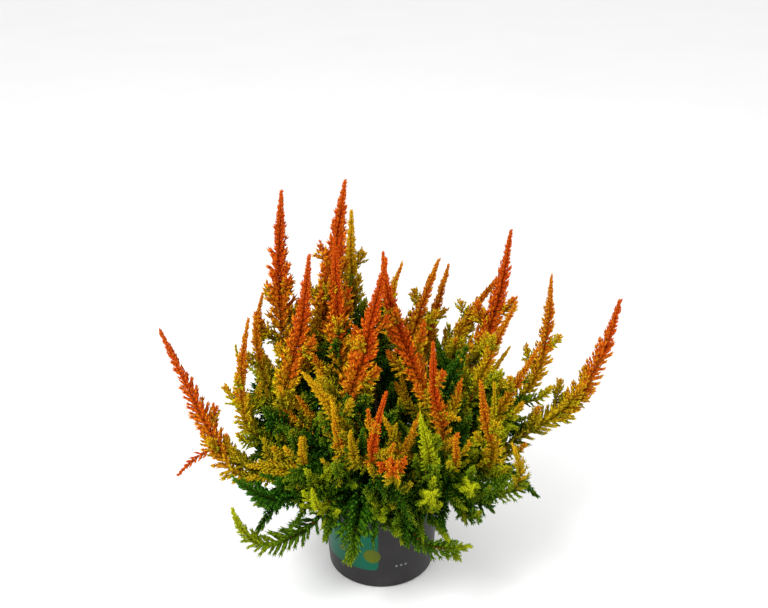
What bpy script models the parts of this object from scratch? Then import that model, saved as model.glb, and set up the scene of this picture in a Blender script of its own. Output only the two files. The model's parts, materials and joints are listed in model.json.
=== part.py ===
"""Potted heather: a tapered plastic pot, a peat root ball, bare woody stems and leafy shoots.

The origin is the centre of the pot's base, on the surface that it stands on. +Z is up, and -Y
is the side that faces the viewer. Every shoot stands on its own woody stem, and every woody
stem stands on the root ball.
"""

import math
from collections import namedtuple

import bmesh
import bpy
import numpy as np
from mathutils import Matrix, Vector
from mathutils.geometry import interpolate_bezier

# All sizes below are in millimetres.
MM = 0.001

POT_HEIGHT = 92.0
POT_BASE_RADIUS = 47.0
POT_RIM_RADIUS = 55.0
POT_WALL = 1.2
POT_FLOOR = 1.5
POT_COLLAR_HEIGHT = 8.5
POT_COLLAR_STEP = 1.6
POT_SEGMENTS = 48
DRAIN_HOLES = 6
DRAIN_HOLE_SIDES = 12
DRAIN_HOLE_RADIUS = 3.5
DRAIN_CIRCLE_RADIUS = 30.0

SOIL_EDGE_HEIGHT = 81.0
SOIL_CROWN_HEIGHT = 84.5
SOIL_EDGE_ROUNDING = 1.0
SOIL_DOME_POINTS = 5

SEAT_GAP = 0.3
SIDE_GAP = 0.45
THINNEST_RADIUS = 0.8
POINTED_END = 1.2
CURVE_STEPS = 10
CURVE_END_EASE = 0.8
FINE_SPACING = 1.0
FEWEST_RINGS = 4
SMOOTH_ANGLE = math.radians(35)

STEM_SIDES = 8
STEM_RING_SPACING = 9.0
STEM_FOOT_RADIUS = 2.4
STEM_TOP_RADIUS = 1.4
STEM_FIRST_RISE = 30.0

SHOOT_SIDES = 6
SHOOT_RING_SPACING = 13.0
SHOOT_FOOT_RADIUS = 0.9
SHOOT_BARE_LENGTH = 12.0
SHOOT_SWELL_LENGTH = 22.0
SHOOT_TAPER_LENGTH = 75.0
SHOOT_TAPER_POWER = 0.7
SHOOT_TIP_RADIUS = 1.3
SHOOT_START_SLANT = 0.6
RIM_CLEARANCE_POINTS = 120

# Each finish is a colour and a roughness.
FINISHES = {
    "pot": ((0.066, 0.060, 0.062), 0.42),
    "soil": ((0.022, 0.014, 0.009), 0.95),
    "bark": ((0.075, 0.040, 0.020), 0.85),
    "green": ((0.035, 0.160, 0.008), 0.60),
    "lime": ((0.250, 0.330, 0.012), 0.60),
    "gold": ((0.550, 0.330, 0.010), 0.60),
    "orange": ((0.640, 0.170, 0.008), 0.60),
    "red": ((0.600, 0.050, 0.006), 0.60),
}

# A woody stem's route rises from its foot on the root ball, given as x and y, to its top.
STEMS = {
    "middle": ((0, 2), ((-2, 3, 120), (-4, 5, 160))),
    "left": ((-10, 1), ((-26, -1, 112), (-52, -6, 140))),
    "right": ((10, 1), ((28, -1, 110), (56, -4, 134))),
    "front": ((0, -10), ((1, -27, 108), (2, -48, 126))),
    "front_left": ((-9, -10), ((-20, -24, 107), (-36, -43, 124))),
    "front_right": ((9, -10), ((22, -24, 106), (42, -43, 120))),
    "back": ((0, 13), ((0, 30, 110), (2, 52, 132))),
    "back_left": ((-10, 12), ((-24, 27, 110), (-46, 42, 134))),
    "back_right": ((10, 12), ((24, 27, 110), (46, 42, 134))),
}

# place is how far up its woody stem a shoot starts, from 0 to 1, and tint is its ripest colour.
# spread is the half width of its foliage. The route runs from its first bend to its tip.
Shoot = namedtuple("Shoot", "stem place tint spread route")
SHOOTS_BY_STEM = {
    "left": (
        (1.00, "red", 6.5, ((-77, 5, 186), (-83, 14, 260), (-79, 20, 340))),
        (0.80, "red", 7.0, ((-50, 4, 214), (-38, 6, 288), (-28, 10, 352))),
        (0.90, "orange", 5.0, ((-86, -6, 160), (-102, -4, 216), (-96, 0, 260))),
        (0.62, "orange", 5.0, ((-84, -28, 134), (-110, -38, 166), (-104, -30, 252))),
        (
            0.45, "red", 6.5,
            ((-66, -34, 117), (-116, -54, 126), (-133, -50, 154), (-151, -35, 184), (-179, -10, 232)),
        ),
    ),
    "middle": (
        (1.00, "gold", 6.5, ((-20, 20, 205), (-25, 32, 266), (-24, 38, 318))),
        (0.92, "orange", 6.0, ((18, 8, 200), (34, 15, 245), (47, 20, 282))),
        (0.80, "gold", 5.5, ((18, -18, 168), (14, -20, 208))),
        (0.70, "red", 6.0, ((-28, -20, 172), (-34, -14, 245), (-36, -10, 312))),
        (0.60, "orange", 5.5, ((22, 21, 162), (42, 31, 218), (57, 40, 270))),
    ),
    "front": (
        (1.00, "red", 5.5, ((-7, -80, 158), (4, -100, 226))),
        (0.86, "red", 6.5, ((9, -82, 136), (9, -125, 178))),
        (0.74, "red", 6.0, ((-24, -46, 180), (-12, -41, 235), (4, -36, 305))),
        (0.92, "gold", 5.0, ((-24, -68, 150), (-37, -78, 205))),
        (0.60, "lime", 5.5, ((-13, -58, 112), (-20, -88, 103), (-24, -105, 78))),
        (0.50, "gold", 5.5, ((15, -56, 140), (10, -68, 168), (2, -73, 190))),
    ),
    "front_left": (
        (1.00, "gold", 6.0, ((-30, -60, 170), (-57, -78, 230))),
        (0.85, "red", 6.0, ((-66, -40, 140), (-78, -30, 180), (-64, -25, 241), (-55, -25, 304))),
        (0.70, "green", 6.0, ((-56, -48, 113), (-82, -74, 115), (-112, -86, 140))),
        (0.50, "lime", 6.0, ((-36, -50, 100), (-62, -78, 88), (-96, -90, 83), (-117, -88, 114))),
        (0.78, "lime", 5.5, ((-46, -84, 113), (-52, -106, 146))),
        (0.94, "gold", 5.0, ((-56, -62, 132), (-61, -88, 180))),
    ),
    "front_right": (
        (1.00, "red", 7.0, ((46, -36, 160), (24, -25, 216), (7, -20, 265), (2, -20, 304))),
        (0.90, "red", 5.0, ((50, -58, 160), (42, -59, 205), (40, -58, 246))),
        (0.80, "lime", 5.5, ((40, -78, 140), (30, -90, 199))),
        (0.68, "lime", 6.5, ((33, -76, 118), (38, -125, 155))),
        (0.42, "lime", 6.0, ((21, -58, 100), (27, -86, 88), (45, -101, 87), (68, -106, 93))),
        (0.86, "lime", 6.0, ((62, -68, 126), (68, -112, 151))),
        (0.94, "orange", 5.0, ((56, -72, 142), (56, -98, 186))),
        (0.56, "gold", 5.5, ((58, -54, 112), (88, -84, 127), (106, -96, 144), (102, -92, 173))),
    ),
    "right": (
        (1.00, "red", 6.5, ((68, 5, 178), (92, 20, 224), (107, 35, 300))),
        (0.86, "orange", 5.5, ((98, -5, 146), (130, 0, 188), (139, 10, 270))),
        (0.50, "red", 6.5, ((92, -18, 124), (140, -15, 153), (171, -10, 185), (194, 0, 254))),
        (0.92, "orange", 5.5, ((72, -16, 166), (86, -20, 210), (108, -10, 257))),
        (0.72, "orange", 5.0, ((82, -26, 144), (99, -30, 175), (125, -30, 227))),
        (0.60, "orange", 5.5, ((72, -42, 124), (89, -60, 146), (82, -68, 184), (76, -72, 220))),
        (0.78, "orange", 6.0, ((58, 14, 170), (66, 24, 212), (99, 40, 258))),
    ),
    "back": (
        (1.00, "orange", 6.0, ((6, 66, 172), (9, 66, 236))),
        (0.88, "lime", 6.0, ((-16, 84, 144), (-26, 116, 172))),
        (0.78, "gold", 6.0, ((24, 84, 142), (32, 120, 166))),
        (0.60, "green", 6.0, ((3, 88, 116), (8, 138, 126))),
    ),
    "back_left": (
        (1.00, "orange", 6.0, ((-58, 54, 176), (-48, 60, 242))),
        (0.86, "gold", 6.0, ((-82, 58, 138), (-108, 74, 168))),
        (0.70, "lime", 6.0, ((-58, 84, 120), (-82, 116, 142))),
        (0.55, "green", 6.0, ((-76, 36, 114), (-116, 44, 136))),
    ),
    "back_right": (
        (1.00, "orange", 6.0, ((62, 55, 174), (92, 62, 234))),
        (0.86, "gold", 6.0, ((86, 58, 140), (116, 74, 172))),
        (0.70, "lime", 6.0, ((58, 86, 120), (80, 122, 144))),
    ),
}
SHOOTS = {
    f"{stem}_{number}": Shoot(stem, *details)
    for stem, group in SHOOTS_BY_STEM.items()
    for number, details in enumerate(group, start=1)
}


def clear_scene():
    """Remove whatever the scene holds, so that only this part is in it."""
    for leftover in list(bpy.data.objects):
        bpy.data.objects.remove(leftover, do_unlink=True)


def plain_material(name, finish):
    """Make a Principled material of one colour."""
    colour, roughness = FINISHES[finish]
    material = bpy.data.materials.new(name)
    material.use_nodes = True
    shader = material.node_tree.nodes["Principled BSDF"]
    shader.inputs["Base Color"].default_value = (*colour, 1.0)
    shader.inputs["Roughness"].default_value = roughness
    shader.inputs["Metallic"].default_value = 0.0
    material.diffuse_color = (*colour, 1.0)
    return material


def add_object(name, bm, finish):
    """Turn a bmesh into a named object with its own material, shaded smooth."""
    bmesh.ops.recalc_face_normals(bm, faces=bm.faces)
    mesh = bpy.data.meshes.new(name)
    bm.to_mesh(mesh)
    bm.free()
    mesh.shade_smooth()
    mesh.set_sharp_from_angle(angle=SMOOTH_ANGLE)
    mesh.materials.append(plain_material(name, finish))
    thing = bpy.data.objects.new(name, mesh)
    bpy.context.scene.collection.objects.link(thing)
    return thing


def turned_bmesh(outline):
    """Spin an outline of (radius, height) points, which starts and ends on the axis."""
    bm = bmesh.new()
    corners = [bm.verts.new((radius * MM, 0.0, height * MM)) for radius, height in outline]
    edges = [bm.edges.new(pair) for pair in zip(corners, corners[1:])]
    bmesh.ops.spin(
        bm, geom=corners + edges, cent=(0, 0, 0), axis=(0, 0, 1),
        angle=math.tau, steps=POT_SEGMENTS, use_merge=True,
    )
    bmesh.ops.remove_doubles(bm, verts=bm.verts, dist=0.01 * MM)
    return bm


def wall_radius(height):
    """Outer radius of the pot's wall below the collar, which tapers in a straight line."""
    collar_foot = POT_HEIGHT - POT_COLLAR_HEIGHT
    top_radius = POT_RIM_RADIUS - POT_COLLAR_STEP
    return POT_BASE_RADIUS + (top_radius - POT_BASE_RADIUS) * height / collar_foot


def make_pot():
    """The pot: a thin tapered wall with a wider collar at the rim and a floor with drain holes."""
    collar_foot = POT_HEIGHT - POT_COLLAR_HEIGHT
    edge = POT_WALL / 2
    outline = (
        (0, 0),
        (wall_radius(0) - POT_FLOOR, 0),
        (wall_radius(POT_FLOOR), POT_FLOOR),
        (wall_radius(collar_foot), collar_foot),
        (POT_RIM_RADIUS - edge / 2, collar_foot + edge),
        (POT_RIM_RADIUS, POT_HEIGHT - edge),
        (POT_RIM_RADIUS - edge, POT_HEIGHT),
        (POT_RIM_RADIUS - POT_WALL, POT_HEIGHT - edge),
        (POT_RIM_RADIUS - edge / 2 - POT_WALL, collar_foot + 2 * edge),
        (wall_radius(collar_foot) - POT_WALL, collar_foot),
        (wall_radius(2 * POT_FLOOR) - POT_WALL, 2 * POT_FLOOR),
        (wall_radius(0) - POT_FLOOR - POT_WALL, POT_FLOOR),
        (0, POT_FLOOR),
    )
    pot = add_object("pot", turned_bmesh(outline), "pot")
    drill = make_drill()
    cut = pot.modifiers.new("drain_holes", "BOOLEAN")
    cut.operation = "DIFFERENCE"
    cut.object = drill
    return pot


def make_drill():
    """The cutter for the drain holes: a ring of upright cylinders through the pot's floor."""
    bm = bmesh.new()
    for hole in range(DRAIN_HOLES):
        turn = Matrix.Rotation(math.tau * hole / DRAIN_HOLES, 4, "Z")
        place = turn @ Matrix.Translation((DRAIN_CIRCLE_RADIUS * MM, 0, POT_FLOOR * MM / 2))
        bmesh.ops.create_cone(
            bm, cap_ends=True, segments=DRAIN_HOLE_SIDES, matrix=place, depth=3 * POT_FLOOR * MM,
            radius1=DRAIN_HOLE_RADIUS * MM, radius2=DRAIN_HOLE_RADIUS * MM,
        )
    drill = add_object("drill", bm, "pot")
    drill.hide_render = True
    drill.display_type = "WIRE"
    return drill


def soil_height(radius):
    """Height of the root ball's domed top at a distance from the pot's axis."""
    edge_radius = wall_radius(SOIL_EDGE_HEIGHT) - POT_WALL - SEAT_GAP
    rise = SOIL_CROWN_HEIGHT - SOIL_EDGE_HEIGHT
    return SOIL_CROWN_HEIGHT - rise * (radius / edge_radius) ** 2


def make_root_ball():
    """The peat and roots, which fill the pot to just under its rim and clear its wall."""
    floor = POT_FLOOR + SEAT_GAP
    inner = POT_WALL + SEAT_GAP
    edge_radius = wall_radius(SOIL_EDGE_HEIGHT) - inner
    dome_radii = np.linspace(edge_radius - SOIL_EDGE_ROUNDING, 0, SOIL_DOME_POINTS)
    dome = [(radius, soil_height(radius)) for radius in dome_radii]
    outline = [
        (0, floor),
        (wall_radius(0) - POT_FLOOR - inner, floor),
        (wall_radius(2 * POT_FLOOR) - inner, 2 * POT_FLOOR + SEAT_GAP),
        (edge_radius, SOIL_EDGE_HEIGHT - SOIL_EDGE_ROUNDING),
        *dome,
    ]
    return add_object("root_ball", turned_bmesh(outline), "soil")


def smooth_route(knots, first_direction):
    """Points along a smooth curve through the knots, a few for each stretch."""
    directions = [first_direction.normalized()]
    for before, after in zip(knots, knots[2:]):
        directions.append((after - before).normalized())
    last_stretch = (knots[-1] - knots[-2]).normalized()
    directions.append((2 * last_stretch - directions[-1] * CURVE_END_EASE).normalized())
    points = [knots[0]]
    for index, (start, end) in enumerate(zip(knots, knots[1:])):
        reach = (end - start).length / 3
        first_handle = start + directions[index] * reach
        second_handle = end - directions[index + 1] * reach
        points += interpolate_bezier(start, first_handle, second_handle, end, CURVE_STEPS)[1:]
    return points


def even_points(points, spacing):
    """Points at even steps along a route, with the given spacing or a little less."""
    lengths = [0.0]
    for start, end in zip(points, points[1:]):
        lengths.append(lengths[-1] + (end - start).length)
    count = max(FEWEST_RINGS, math.ceil(lengths[-1] / spacing) + 1)
    stops = np.linspace(0, lengths[-1], count)
    columns = [np.interp(stops, lengths, [point[axis] for point in points]) for axis in range(3)]
    return [Vector(point) for point in zip(*columns)]


def stem_route(name):
    """The smooth centre line of a woody stem, from just above the root ball."""
    (x, y), knots = STEMS[name]
    foot_height = soil_height(math.hypot(x, y)) + SEAT_GAP + POINTED_END
    foot = Vector((x, y, foot_height))
    return smooth_route([foot, *map(Vector, knots)], Vector((x, y, STEM_FIRST_RISE)))


def stem_radius(place):
    """Radius of a woody stem at a place from 0 at its foot to 1 at its top."""
    return STEM_FOOT_RADIUS + (STEM_TOP_RADIUS - STEM_FOOT_RADIUS) * place


def shoot_route(shoot):
    """The smooth centre line of a shoot, whose foot meets the side or the end of its stem."""
    line = even_points(stem_route(shoot.stem), FINE_SPACING)
    index = round(shoot.place * (len(line) - 1))
    along = (line[index] - line[index - 1]).normalized()
    knots = list(map(Vector, shoot.route))
    if shoot.place == 1.0:
        foot = line[-1] + along * (2 * POINTED_END + SEAT_GAP)
        return smooth_route([foot, *knots], along)
    heading = knots[0] - line[index]
    sideways = (heading - heading.project(along)).normalized()
    lean = (sideways + SHOOT_START_SLANT * along).normalized()
    clear = stem_radius(shoot.place) + SEAT_GAP
    foot = line[index] + sideways * clear + lean * POINTED_END
    return smooth_route([foot, *knots], lean)


def wanted_radius(spread, at, length):
    """Radius of a shoot at a distance from its foot: bare, then leafy, then tapering to a tip."""
    swell = min(1.0, max(0.0, (at - SHOOT_BARE_LENGTH) / SHOOT_SWELL_LENGTH))
    fade = min(1.0, (length - at) / SHOOT_TAPER_LENGTH) ** SHOOT_TAPER_POWER
    leafy = SHOOT_TIP_RADIUS + (spread - SHOOT_TIP_RADIUS) * fade
    return SHOOT_FOOT_RADIUS + (leafy - SHOOT_FOOT_RADIUS) * swell


def profile_along(points, radius_at):
    """Rows of x, y, z and radius for a route whose radius depends on the distance along it."""
    steps = [0.0, *((end - start).length for start, end in zip(points, points[1:]))]
    distances = np.cumsum(steps)
    return np.array([(*point, radius_at(at, distances[-1])) for point, at in zip(points, distances)])


def rim_obstacle():
    """Rows for the pot's rim, as a thin ring that the shoots keep clear of."""
    angles = np.linspace(0, math.tau, RIM_CLEARANCE_POINTS, endpoint=False)
    middle = POT_RIM_RADIUS - POT_WALL
    x = middle * np.cos(angles)
    y = middle * np.sin(angles)
    return np.column_stack([x, y, np.full_like(x, POT_HEIGHT - 1), np.full_like(x, POT_WALL)])


def make_room(rows, firm, soft):
    """Limit a shoot's radius where firm pieces or other shoots pass near, and return it."""
    limit = rows[:, 3].copy()
    for index, (*place, wanted) in enumerate(rows):
        to_firm = np.linalg.norm(firm[:, :3] - place, axis=1) - firm[:, 3] - SIDE_GAP
        to_soft = np.linalg.norm(soft[:, :3] - place, axis=1) - SIDE_GAP
        share = to_soft * wanted / (wanted + soft[:, 3])
        limit[index] = min(wanted, to_firm.min(), share.min())
    return np.maximum(limit, THINNEST_RADIUS)


def ring_radii(fine, limit, rings):
    """Radius at each ring: the smallest limit between its two neighbouring rings."""
    nearest = [int(np.argmin(np.linalg.norm(fine[:, :3] - ring, axis=1))) for ring in rings]
    radii = []
    for before, after in zip([0, *nearest], [*nearest[1:], nearest[-1]]):
        radii.append(limit[before:after + 1].min())
    return radii


def tube_bmesh(points, radii, sides):
    """A closed tube with round rings along a route and a short cone at each end."""
    bm = bmesh.new()
    last = len(points) - 1
    heading = (points[1] - points[0]).normalized()
    rotation = Vector((0, 0, 1)).rotation_difference(heading)
    rings = []
    for index, (point, radius) in enumerate(zip(points, radii)):
        ahead = points[min(index + 1, last)] - points[max(index - 1, 0)]
        rotation = heading.rotation_difference(ahead) @ rotation
        heading = ahead.normalized()
        ring = bmesh.ops.create_circle(
            bm, cap_ends=index in (0, last), segments=sides, radius=radius * MM,
            matrix=Matrix.LocRotScale(point * MM, rotation, None),
        )
        rings.append(list(dict.fromkeys(edge for vert in ring["verts"] for edge in vert.link_edges)))
    for lower, upper in zip(rings, rings[1:]):
        bmesh.ops.bridge_loops(bm, edges=lower + upper)
    bmesh.ops.recalc_face_normals(bm, faces=bm.faces)
    caps = [face for face in bm.faces if len(face.verts) == sides]
    bmesh.ops.poke(bm, faces=caps, offset=POINTED_END * MM)
    return bm


def make_stem(name):
    """One bare woody stem, which stands on the root ball and carries its own shoots."""
    points = even_points(stem_route(name), STEM_RING_SPACING)
    radii = [stem_radius(index / (len(points) - 1)) for index in range(len(points))]
    return add_object(f"woody_stem_{name}", tube_bmesh(points, radii, STEM_SIDES), "bark")


def make_shoots():
    """All the leafy shoots, each a tapered plume that leaves room for its neighbours."""
    fine = {}
    for name, shoot in SHOOTS.items():
        points = even_points(shoot_route(shoot), FINE_SPACING)
        fine[name] = profile_along(points, lambda at, length: wanted_radius(shoot.spread, at, length))
    stems = []
    for name in STEMS:
        points = even_points(stem_route(name), FINE_SPACING)
        stems.append(profile_along(points, lambda at, length: stem_radius(at / length)))
    firm = np.vstack([*stems, rim_obstacle()])
    for name, shoot in SHOOTS.items():
        others = np.vstack([rows for other, rows in fine.items() if other != name])
        limit = make_room(fine[name], firm, others)
        points = even_points(shoot_route(shoot), SHOOT_RING_SPACING)
        radii = ring_radii(fine[name], limit, points)
        add_object(f"shoot_{name}", tube_bmesh(points, radii, SHOOT_SIDES), shoot.tint)


def main():
    clear_scene()
    make_pot()
    make_root_ball()
    for name in STEMS:
        make_stem(name)
    make_shoots()


main()
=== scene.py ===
"""Potted heather: the finish of its pot, peat, woody stems and leafy shoots.

Each leafy shoot is a thin stem that carries pairs of short twiglets, and each twiglet is clothed
in small scale leaves. The shoots follow the centre lines of the frame's own shoots.
"""
import json
import math
from collections import namedtuple

import bmesh
import bpy
import numpy as np
from bpy.props import FloatProperty, FloatVectorProperty, IntProperty, PointerProperty
from mathutils import Euler, Matrix, Vector, noise
from mathutils.geometry import interpolate_bezier


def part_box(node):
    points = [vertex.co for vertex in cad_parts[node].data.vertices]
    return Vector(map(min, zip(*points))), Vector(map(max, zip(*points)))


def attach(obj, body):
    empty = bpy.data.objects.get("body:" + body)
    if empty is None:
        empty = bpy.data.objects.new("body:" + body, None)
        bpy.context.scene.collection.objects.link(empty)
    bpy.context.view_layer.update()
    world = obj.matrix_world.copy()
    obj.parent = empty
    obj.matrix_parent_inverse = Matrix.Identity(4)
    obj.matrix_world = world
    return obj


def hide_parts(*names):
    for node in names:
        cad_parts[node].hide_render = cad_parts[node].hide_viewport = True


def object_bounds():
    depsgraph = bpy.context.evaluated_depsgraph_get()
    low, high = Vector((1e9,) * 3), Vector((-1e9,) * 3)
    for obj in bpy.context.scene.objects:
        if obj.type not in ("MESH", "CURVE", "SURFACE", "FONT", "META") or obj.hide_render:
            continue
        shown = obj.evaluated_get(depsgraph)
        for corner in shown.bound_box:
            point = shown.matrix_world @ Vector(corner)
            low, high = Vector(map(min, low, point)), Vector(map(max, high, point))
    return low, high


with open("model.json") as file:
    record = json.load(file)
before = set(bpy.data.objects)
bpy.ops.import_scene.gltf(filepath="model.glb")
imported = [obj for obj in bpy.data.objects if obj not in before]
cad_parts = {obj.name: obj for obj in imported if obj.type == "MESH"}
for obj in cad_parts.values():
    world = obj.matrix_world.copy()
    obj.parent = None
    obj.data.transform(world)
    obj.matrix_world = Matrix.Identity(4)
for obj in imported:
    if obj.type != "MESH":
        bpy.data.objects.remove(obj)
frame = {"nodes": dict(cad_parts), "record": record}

bl_info = {
    "name": "Potted heather",
    "version": (1, 0, 0),
    "blender": (4, 5, 0),
    "location": "View3D > Sidebar > Heather",
    "description": "Builds a young heather with coloured foliage in a printed nursery pot",
    "category": "Add Mesh",
}

CAD_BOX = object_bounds()
BODY = "root"
MM = 0.001
SEED = 20
BAKE_MAP = "OFBake"
MERGE_DISTANCE = 0.01 * MM
FULL_TURN = math.tau
QUARTER_TURN = math.pi / 2

POT_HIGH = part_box("pot")[1]
PEAT_LOW, PEAT_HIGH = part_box("root_ball")
SLOT_OF_NODE = {row["node"]: row["material_slot"] for row in frame["record"]["subparts"]}
STEM_NODES = [name for name in SLOT_OF_NODE if name.startswith("woody_stem_")]
SHOOT_NODES = [name for name in SLOT_OF_NODE if name.startswith("shoot_")]

# Extra sprays that grow from a shoot: ripeness at the foot and tip, reach in mm, points in mm.
Spray = namedtuple("Spray", "ripe_foot ripe_tip reach route")
NAMED_SPRAYS = {
    "shoot_left_3": (Spray(0.35, 0.65, 4.5, ((-111, 20, 181), (-122, 25, 188), (-126, 30, 200))),),
    "shoot_left_5": (
        Spray(0.80, 0.95, 6.0, ((-129, -50, 150), (-145, -60, 147), (-162, -70, 134))),
        Spray(0.35, 0.56, 10.0, ((-98, -50, 124), (-112, -54, 134), (-122, -52, 150))),
        Spray(0.30, 0.54, 10.0, ((-78, -42, 120), (-88, -48, 134), (-95, -46, 152))),
        Spray(0.42, 0.56, 13.0, ((-56, -54, 122), (-79, -62, 136), (-106, -64, 139))),
        Spray(0.40, 0.55, 12.0, ((-66, -56, 126), (-87, -66, 132), (-105, -70, 131))),
        Spray(0.42, 0.55, 11.0, ((-61, -58, 127), (-62, -64, 148), (-62, -66, 166))),
    ),
    "shoot_middle_2": (Spray(0.50, 0.95, 8.0, ((10, 6, 228), (8, 6, 252), (17, 10, 283))),),
    "shoot_middle_3": (
        Spray(0.10, 0.50, 10.0, ((6, -10, 118), (12, -16, 142), (14, -24, 166))),
        Spray(0.05, 0.35, 11.0, ((10, 4, 114), (8, 8, 136), (3, 12, 159))),
        Spray(0.05, 0.35, 11.0, ((15, 8, 111), (19, 14, 130), (25, 20, 151))),
    ),
    "shoot_middle_4": (
        Spray(0.10, 0.45, 10.0, ((-14, -8, 118), (-28, -16, 142), (-33, -24, 164))),
        Spray(0.05, 0.35, 11.0, ((-25, -10, 129), (-26, -6, 146), (-30, -2, 166))),
        Spray(0.05, 0.40, 11.0, ((-11, 0, 118), (-15, 2, 141), (-18, 6, 163))),
        Spray(0.05, 0.35, 11.0, ((-9, 20, 116), (-7, 22, 130), (-5, 24, 146))),
    ),
    "shoot_middle_5": (
        Spray(0.10, 0.50, 10.0, ((14, 8, 116), (27, 4, 138), (34, -2, 162))),
        Spray(0.05, 0.35, 10.0, ((18, 10, 110), (19, 12, 127), (22, 14, 144))),
    ),
    "shoot_right_3": (Spray(0.45, 0.66, 10.0, ((151, -14, 159), (158, -20, 176), (167, -22, 190))),),
    "shoot_right_6": (Spray(0.40, 0.75, 5.5, ((90, -40, 143), (91, -42, 178), (90, -45, 204))),),
    "shoot_front_3": (Spray(0.50, 0.95, 5.0, ((-21, -42, 150), (-21, -50, 170), (-22, -55, 199))),),
    "shoot_left_4": (
        Spray(0.35, 0.85, 7.5, ((-51, -20, 145), (-62, -30, 170), (-78, -35, 183))),
        Spray(0.30, 0.70, 10.0, ((-84, -28, 132), (-102, -22, 144), (-113, -12, 164))),
        Spray(0.55, 0.95, 8.5, ((-57, -30, 142), (-66, -36, 161), (-78, -38, 175))),
        Spray(0.55, 0.90, 8.5, ((-54, -34, 134), (-64, -42, 151), (-77, -44, 160))),
        Spray(0.50, 0.95, 8.0, ((-52, -28, 148), (-59, -34, 171), (-68, -36, 187))),
    ),
    "shoot_front_2": (
        Spray(0.70, 0.95, 7.5, ((6, -108, 164), (2, -116, 173), (0, -120, 179))),
        Spray(0.65, 0.90, 7.5, ((11, -108, 164), (15, -116, 174), (18, -120, 182))),
        Spray(0.80, 0.97, 7.5, ((8, -110, 166), (8, -116, 174), (7, -119, 182))),
    ),
    "shoot_front_1": (Spray(0.45, 0.68, 10.0, ((-28, -70, 153), (-33, -78, 174), (-36, -80, 191))),),
    "shoot_front_left_5": (
        Spray(0.55, 0.80, 10.0, ((-48, -62, 118), (-43, -74, 138), (-36, -82, 153))),
        Spray(0.45, 0.75, 10.0, ((-51, -66, 115), (-54, -78, 135), (-58, -84, 149))),
    ),
    "shoot_front_4": (Spray(0.30, 0.60, 7.5, ((-30, -76, 142), (-34, -100, 169))),),
    "shoot_front_5": (
        Spray(0.05, 0.35, 11.0, ((-24, -62, 110), (-36, -80, 104), (-44, -92, 88))),
        Spray(0.03, 0.30, 10.0, ((-4, -60, 112), (-4, -82, 106), (-6, -96, 90))),
    ),
    "shoot_front_6": (
        Spray(0.10, 0.45, 10.0, ((10, -40, 124), (20, -48, 136), (26, -54, 152))),
        Spray(0.50, 0.80, 10.0, ((-15, -74, 149), (-22, -84, 171), (-23, -88, 186))),
    ),
    "shoot_front_right_1": (
        Spray(0.35, 0.60, 8.5, ((39, -50, 180), (50, -62, 185), (62, -70, 186))),
        Spray(0.45, 0.68, 10.0, ((15, -70, 153), (23, -80, 174), (26, -82, 191))),
    ),
    "shoot_front_right_5": (
        Spray(0.25, 0.75, 10.0, ((48, -98, 90), (57, -102, 84), (61, -100, 76))),
        Spray(0.05, 0.35, 11.0, ((24, -64, 104), (18, -84, 96), (22, -96, 84))),
        Spray(0.05, 0.35, 10.0, ((30, -66, 106), (44, -84, 100), (52, -92, 90))),
    ),
    "shoot_front_right_6": (
        Spray(0.10, 0.45, 10.0, ((58, -66, 116), (72, -74, 108), (80, -80, 96))),
    ),
    "shoot_front_right_8": (
        Spray(0.05, 0.35, 9.0, ((80, -72, 108), (86, -76, 114), (94, -82, 127))),
        Spray(0.15, 0.60, 8.5, ((68, -74, 102), (75, -92, 112), (76, -104, 124))),
    ),
}


def length_setting(name, description, default):
    """A length that a user may change."""
    return FloatProperty(name=name, description=description, default=default, unit="LENGTH")


def colour_setting(name, description, default):
    """A colour that a user may change."""
    return FloatVectorProperty(name=name, description=description, default=default, subtype="COLOR")


class PotSettings(bpy.types.PropertyGroup):
    """Sizes and colours of the plastic pot and its print."""

    base_radius: length_setting("Base radius", "Radius of the pot's base", 47 * MM)
    rim_radius: length_setting("Rim radius", "Outer radius of the collar", POT_HIGH.x)
    height: length_setting("Height", "Height of the pot", POT_HIGH.z)
    collar_height: length_setting("Collar height", "Height of the wide band at the rim", 8.5 * MM)
    collar_step: length_setting("Collar step", "How far the collar stands out", 1.6 * MM)
    wall: length_setting("Wall", "Thickness of the wall", 1.2 * MM)
    plastic: colour_setting("Plastic", "Colour of the plastic", (0.027, 0.025, 0.026))
    bloom: colour_setting("Bloom", "Colour of the plastic's paler mottle", (0.050, 0.046, 0.047))
    dust: colour_setting("Dust", "Colour of dust and scuffs", (0.20, 0.19, 0.18))
    panel: colour_setting("Printed panel", "Colour of the printed panel", (0.001, 0.110, 0.060))
    motif: colour_setting("Printed discs", "Colour of the discs on the panel", (0.095, 0.125, 0.001))
    dots: colour_setting("Printed dots", "Colour of the row of small dots", (0.230, 0.230, 0.260))


class PeatSettings(bpy.types.PropertyGroup):
    """Sizes and colours of the peat in the pot."""

    lump_height: length_setting("Lump height", "Height of the lumps on the peat", 1.3 * MM)
    crumbs: IntProperty(name="Crumbs", description="Number of loose crumbs", default=420)
    dark: colour_setting("Damp peat", "Colour of damp peat", (0.010, 0.006, 0.004))
    light: colour_setting("Dry fibre", "Colour of dry fibres", (0.075, 0.042, 0.022))


class WoodSettings(bpy.types.PropertyGroup):
    """Sizes and colours of the bare woody stems."""

    sink: length_setting("Depth in peat", "How far a stem goes on below the peat's top", 5 * MM)
    dead_twigs: IntProperty(
        name="Dead twigs", description="Number of short dead twigs on each stem", default=7,
    )
    dark: colour_setting("Dark bark", "Colour of the bark's furrows", (0.018, 0.009, 0.005))
    light: colour_setting("Light bark", "Colour of the bark's ridges", (0.110, 0.062, 0.034))


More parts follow.
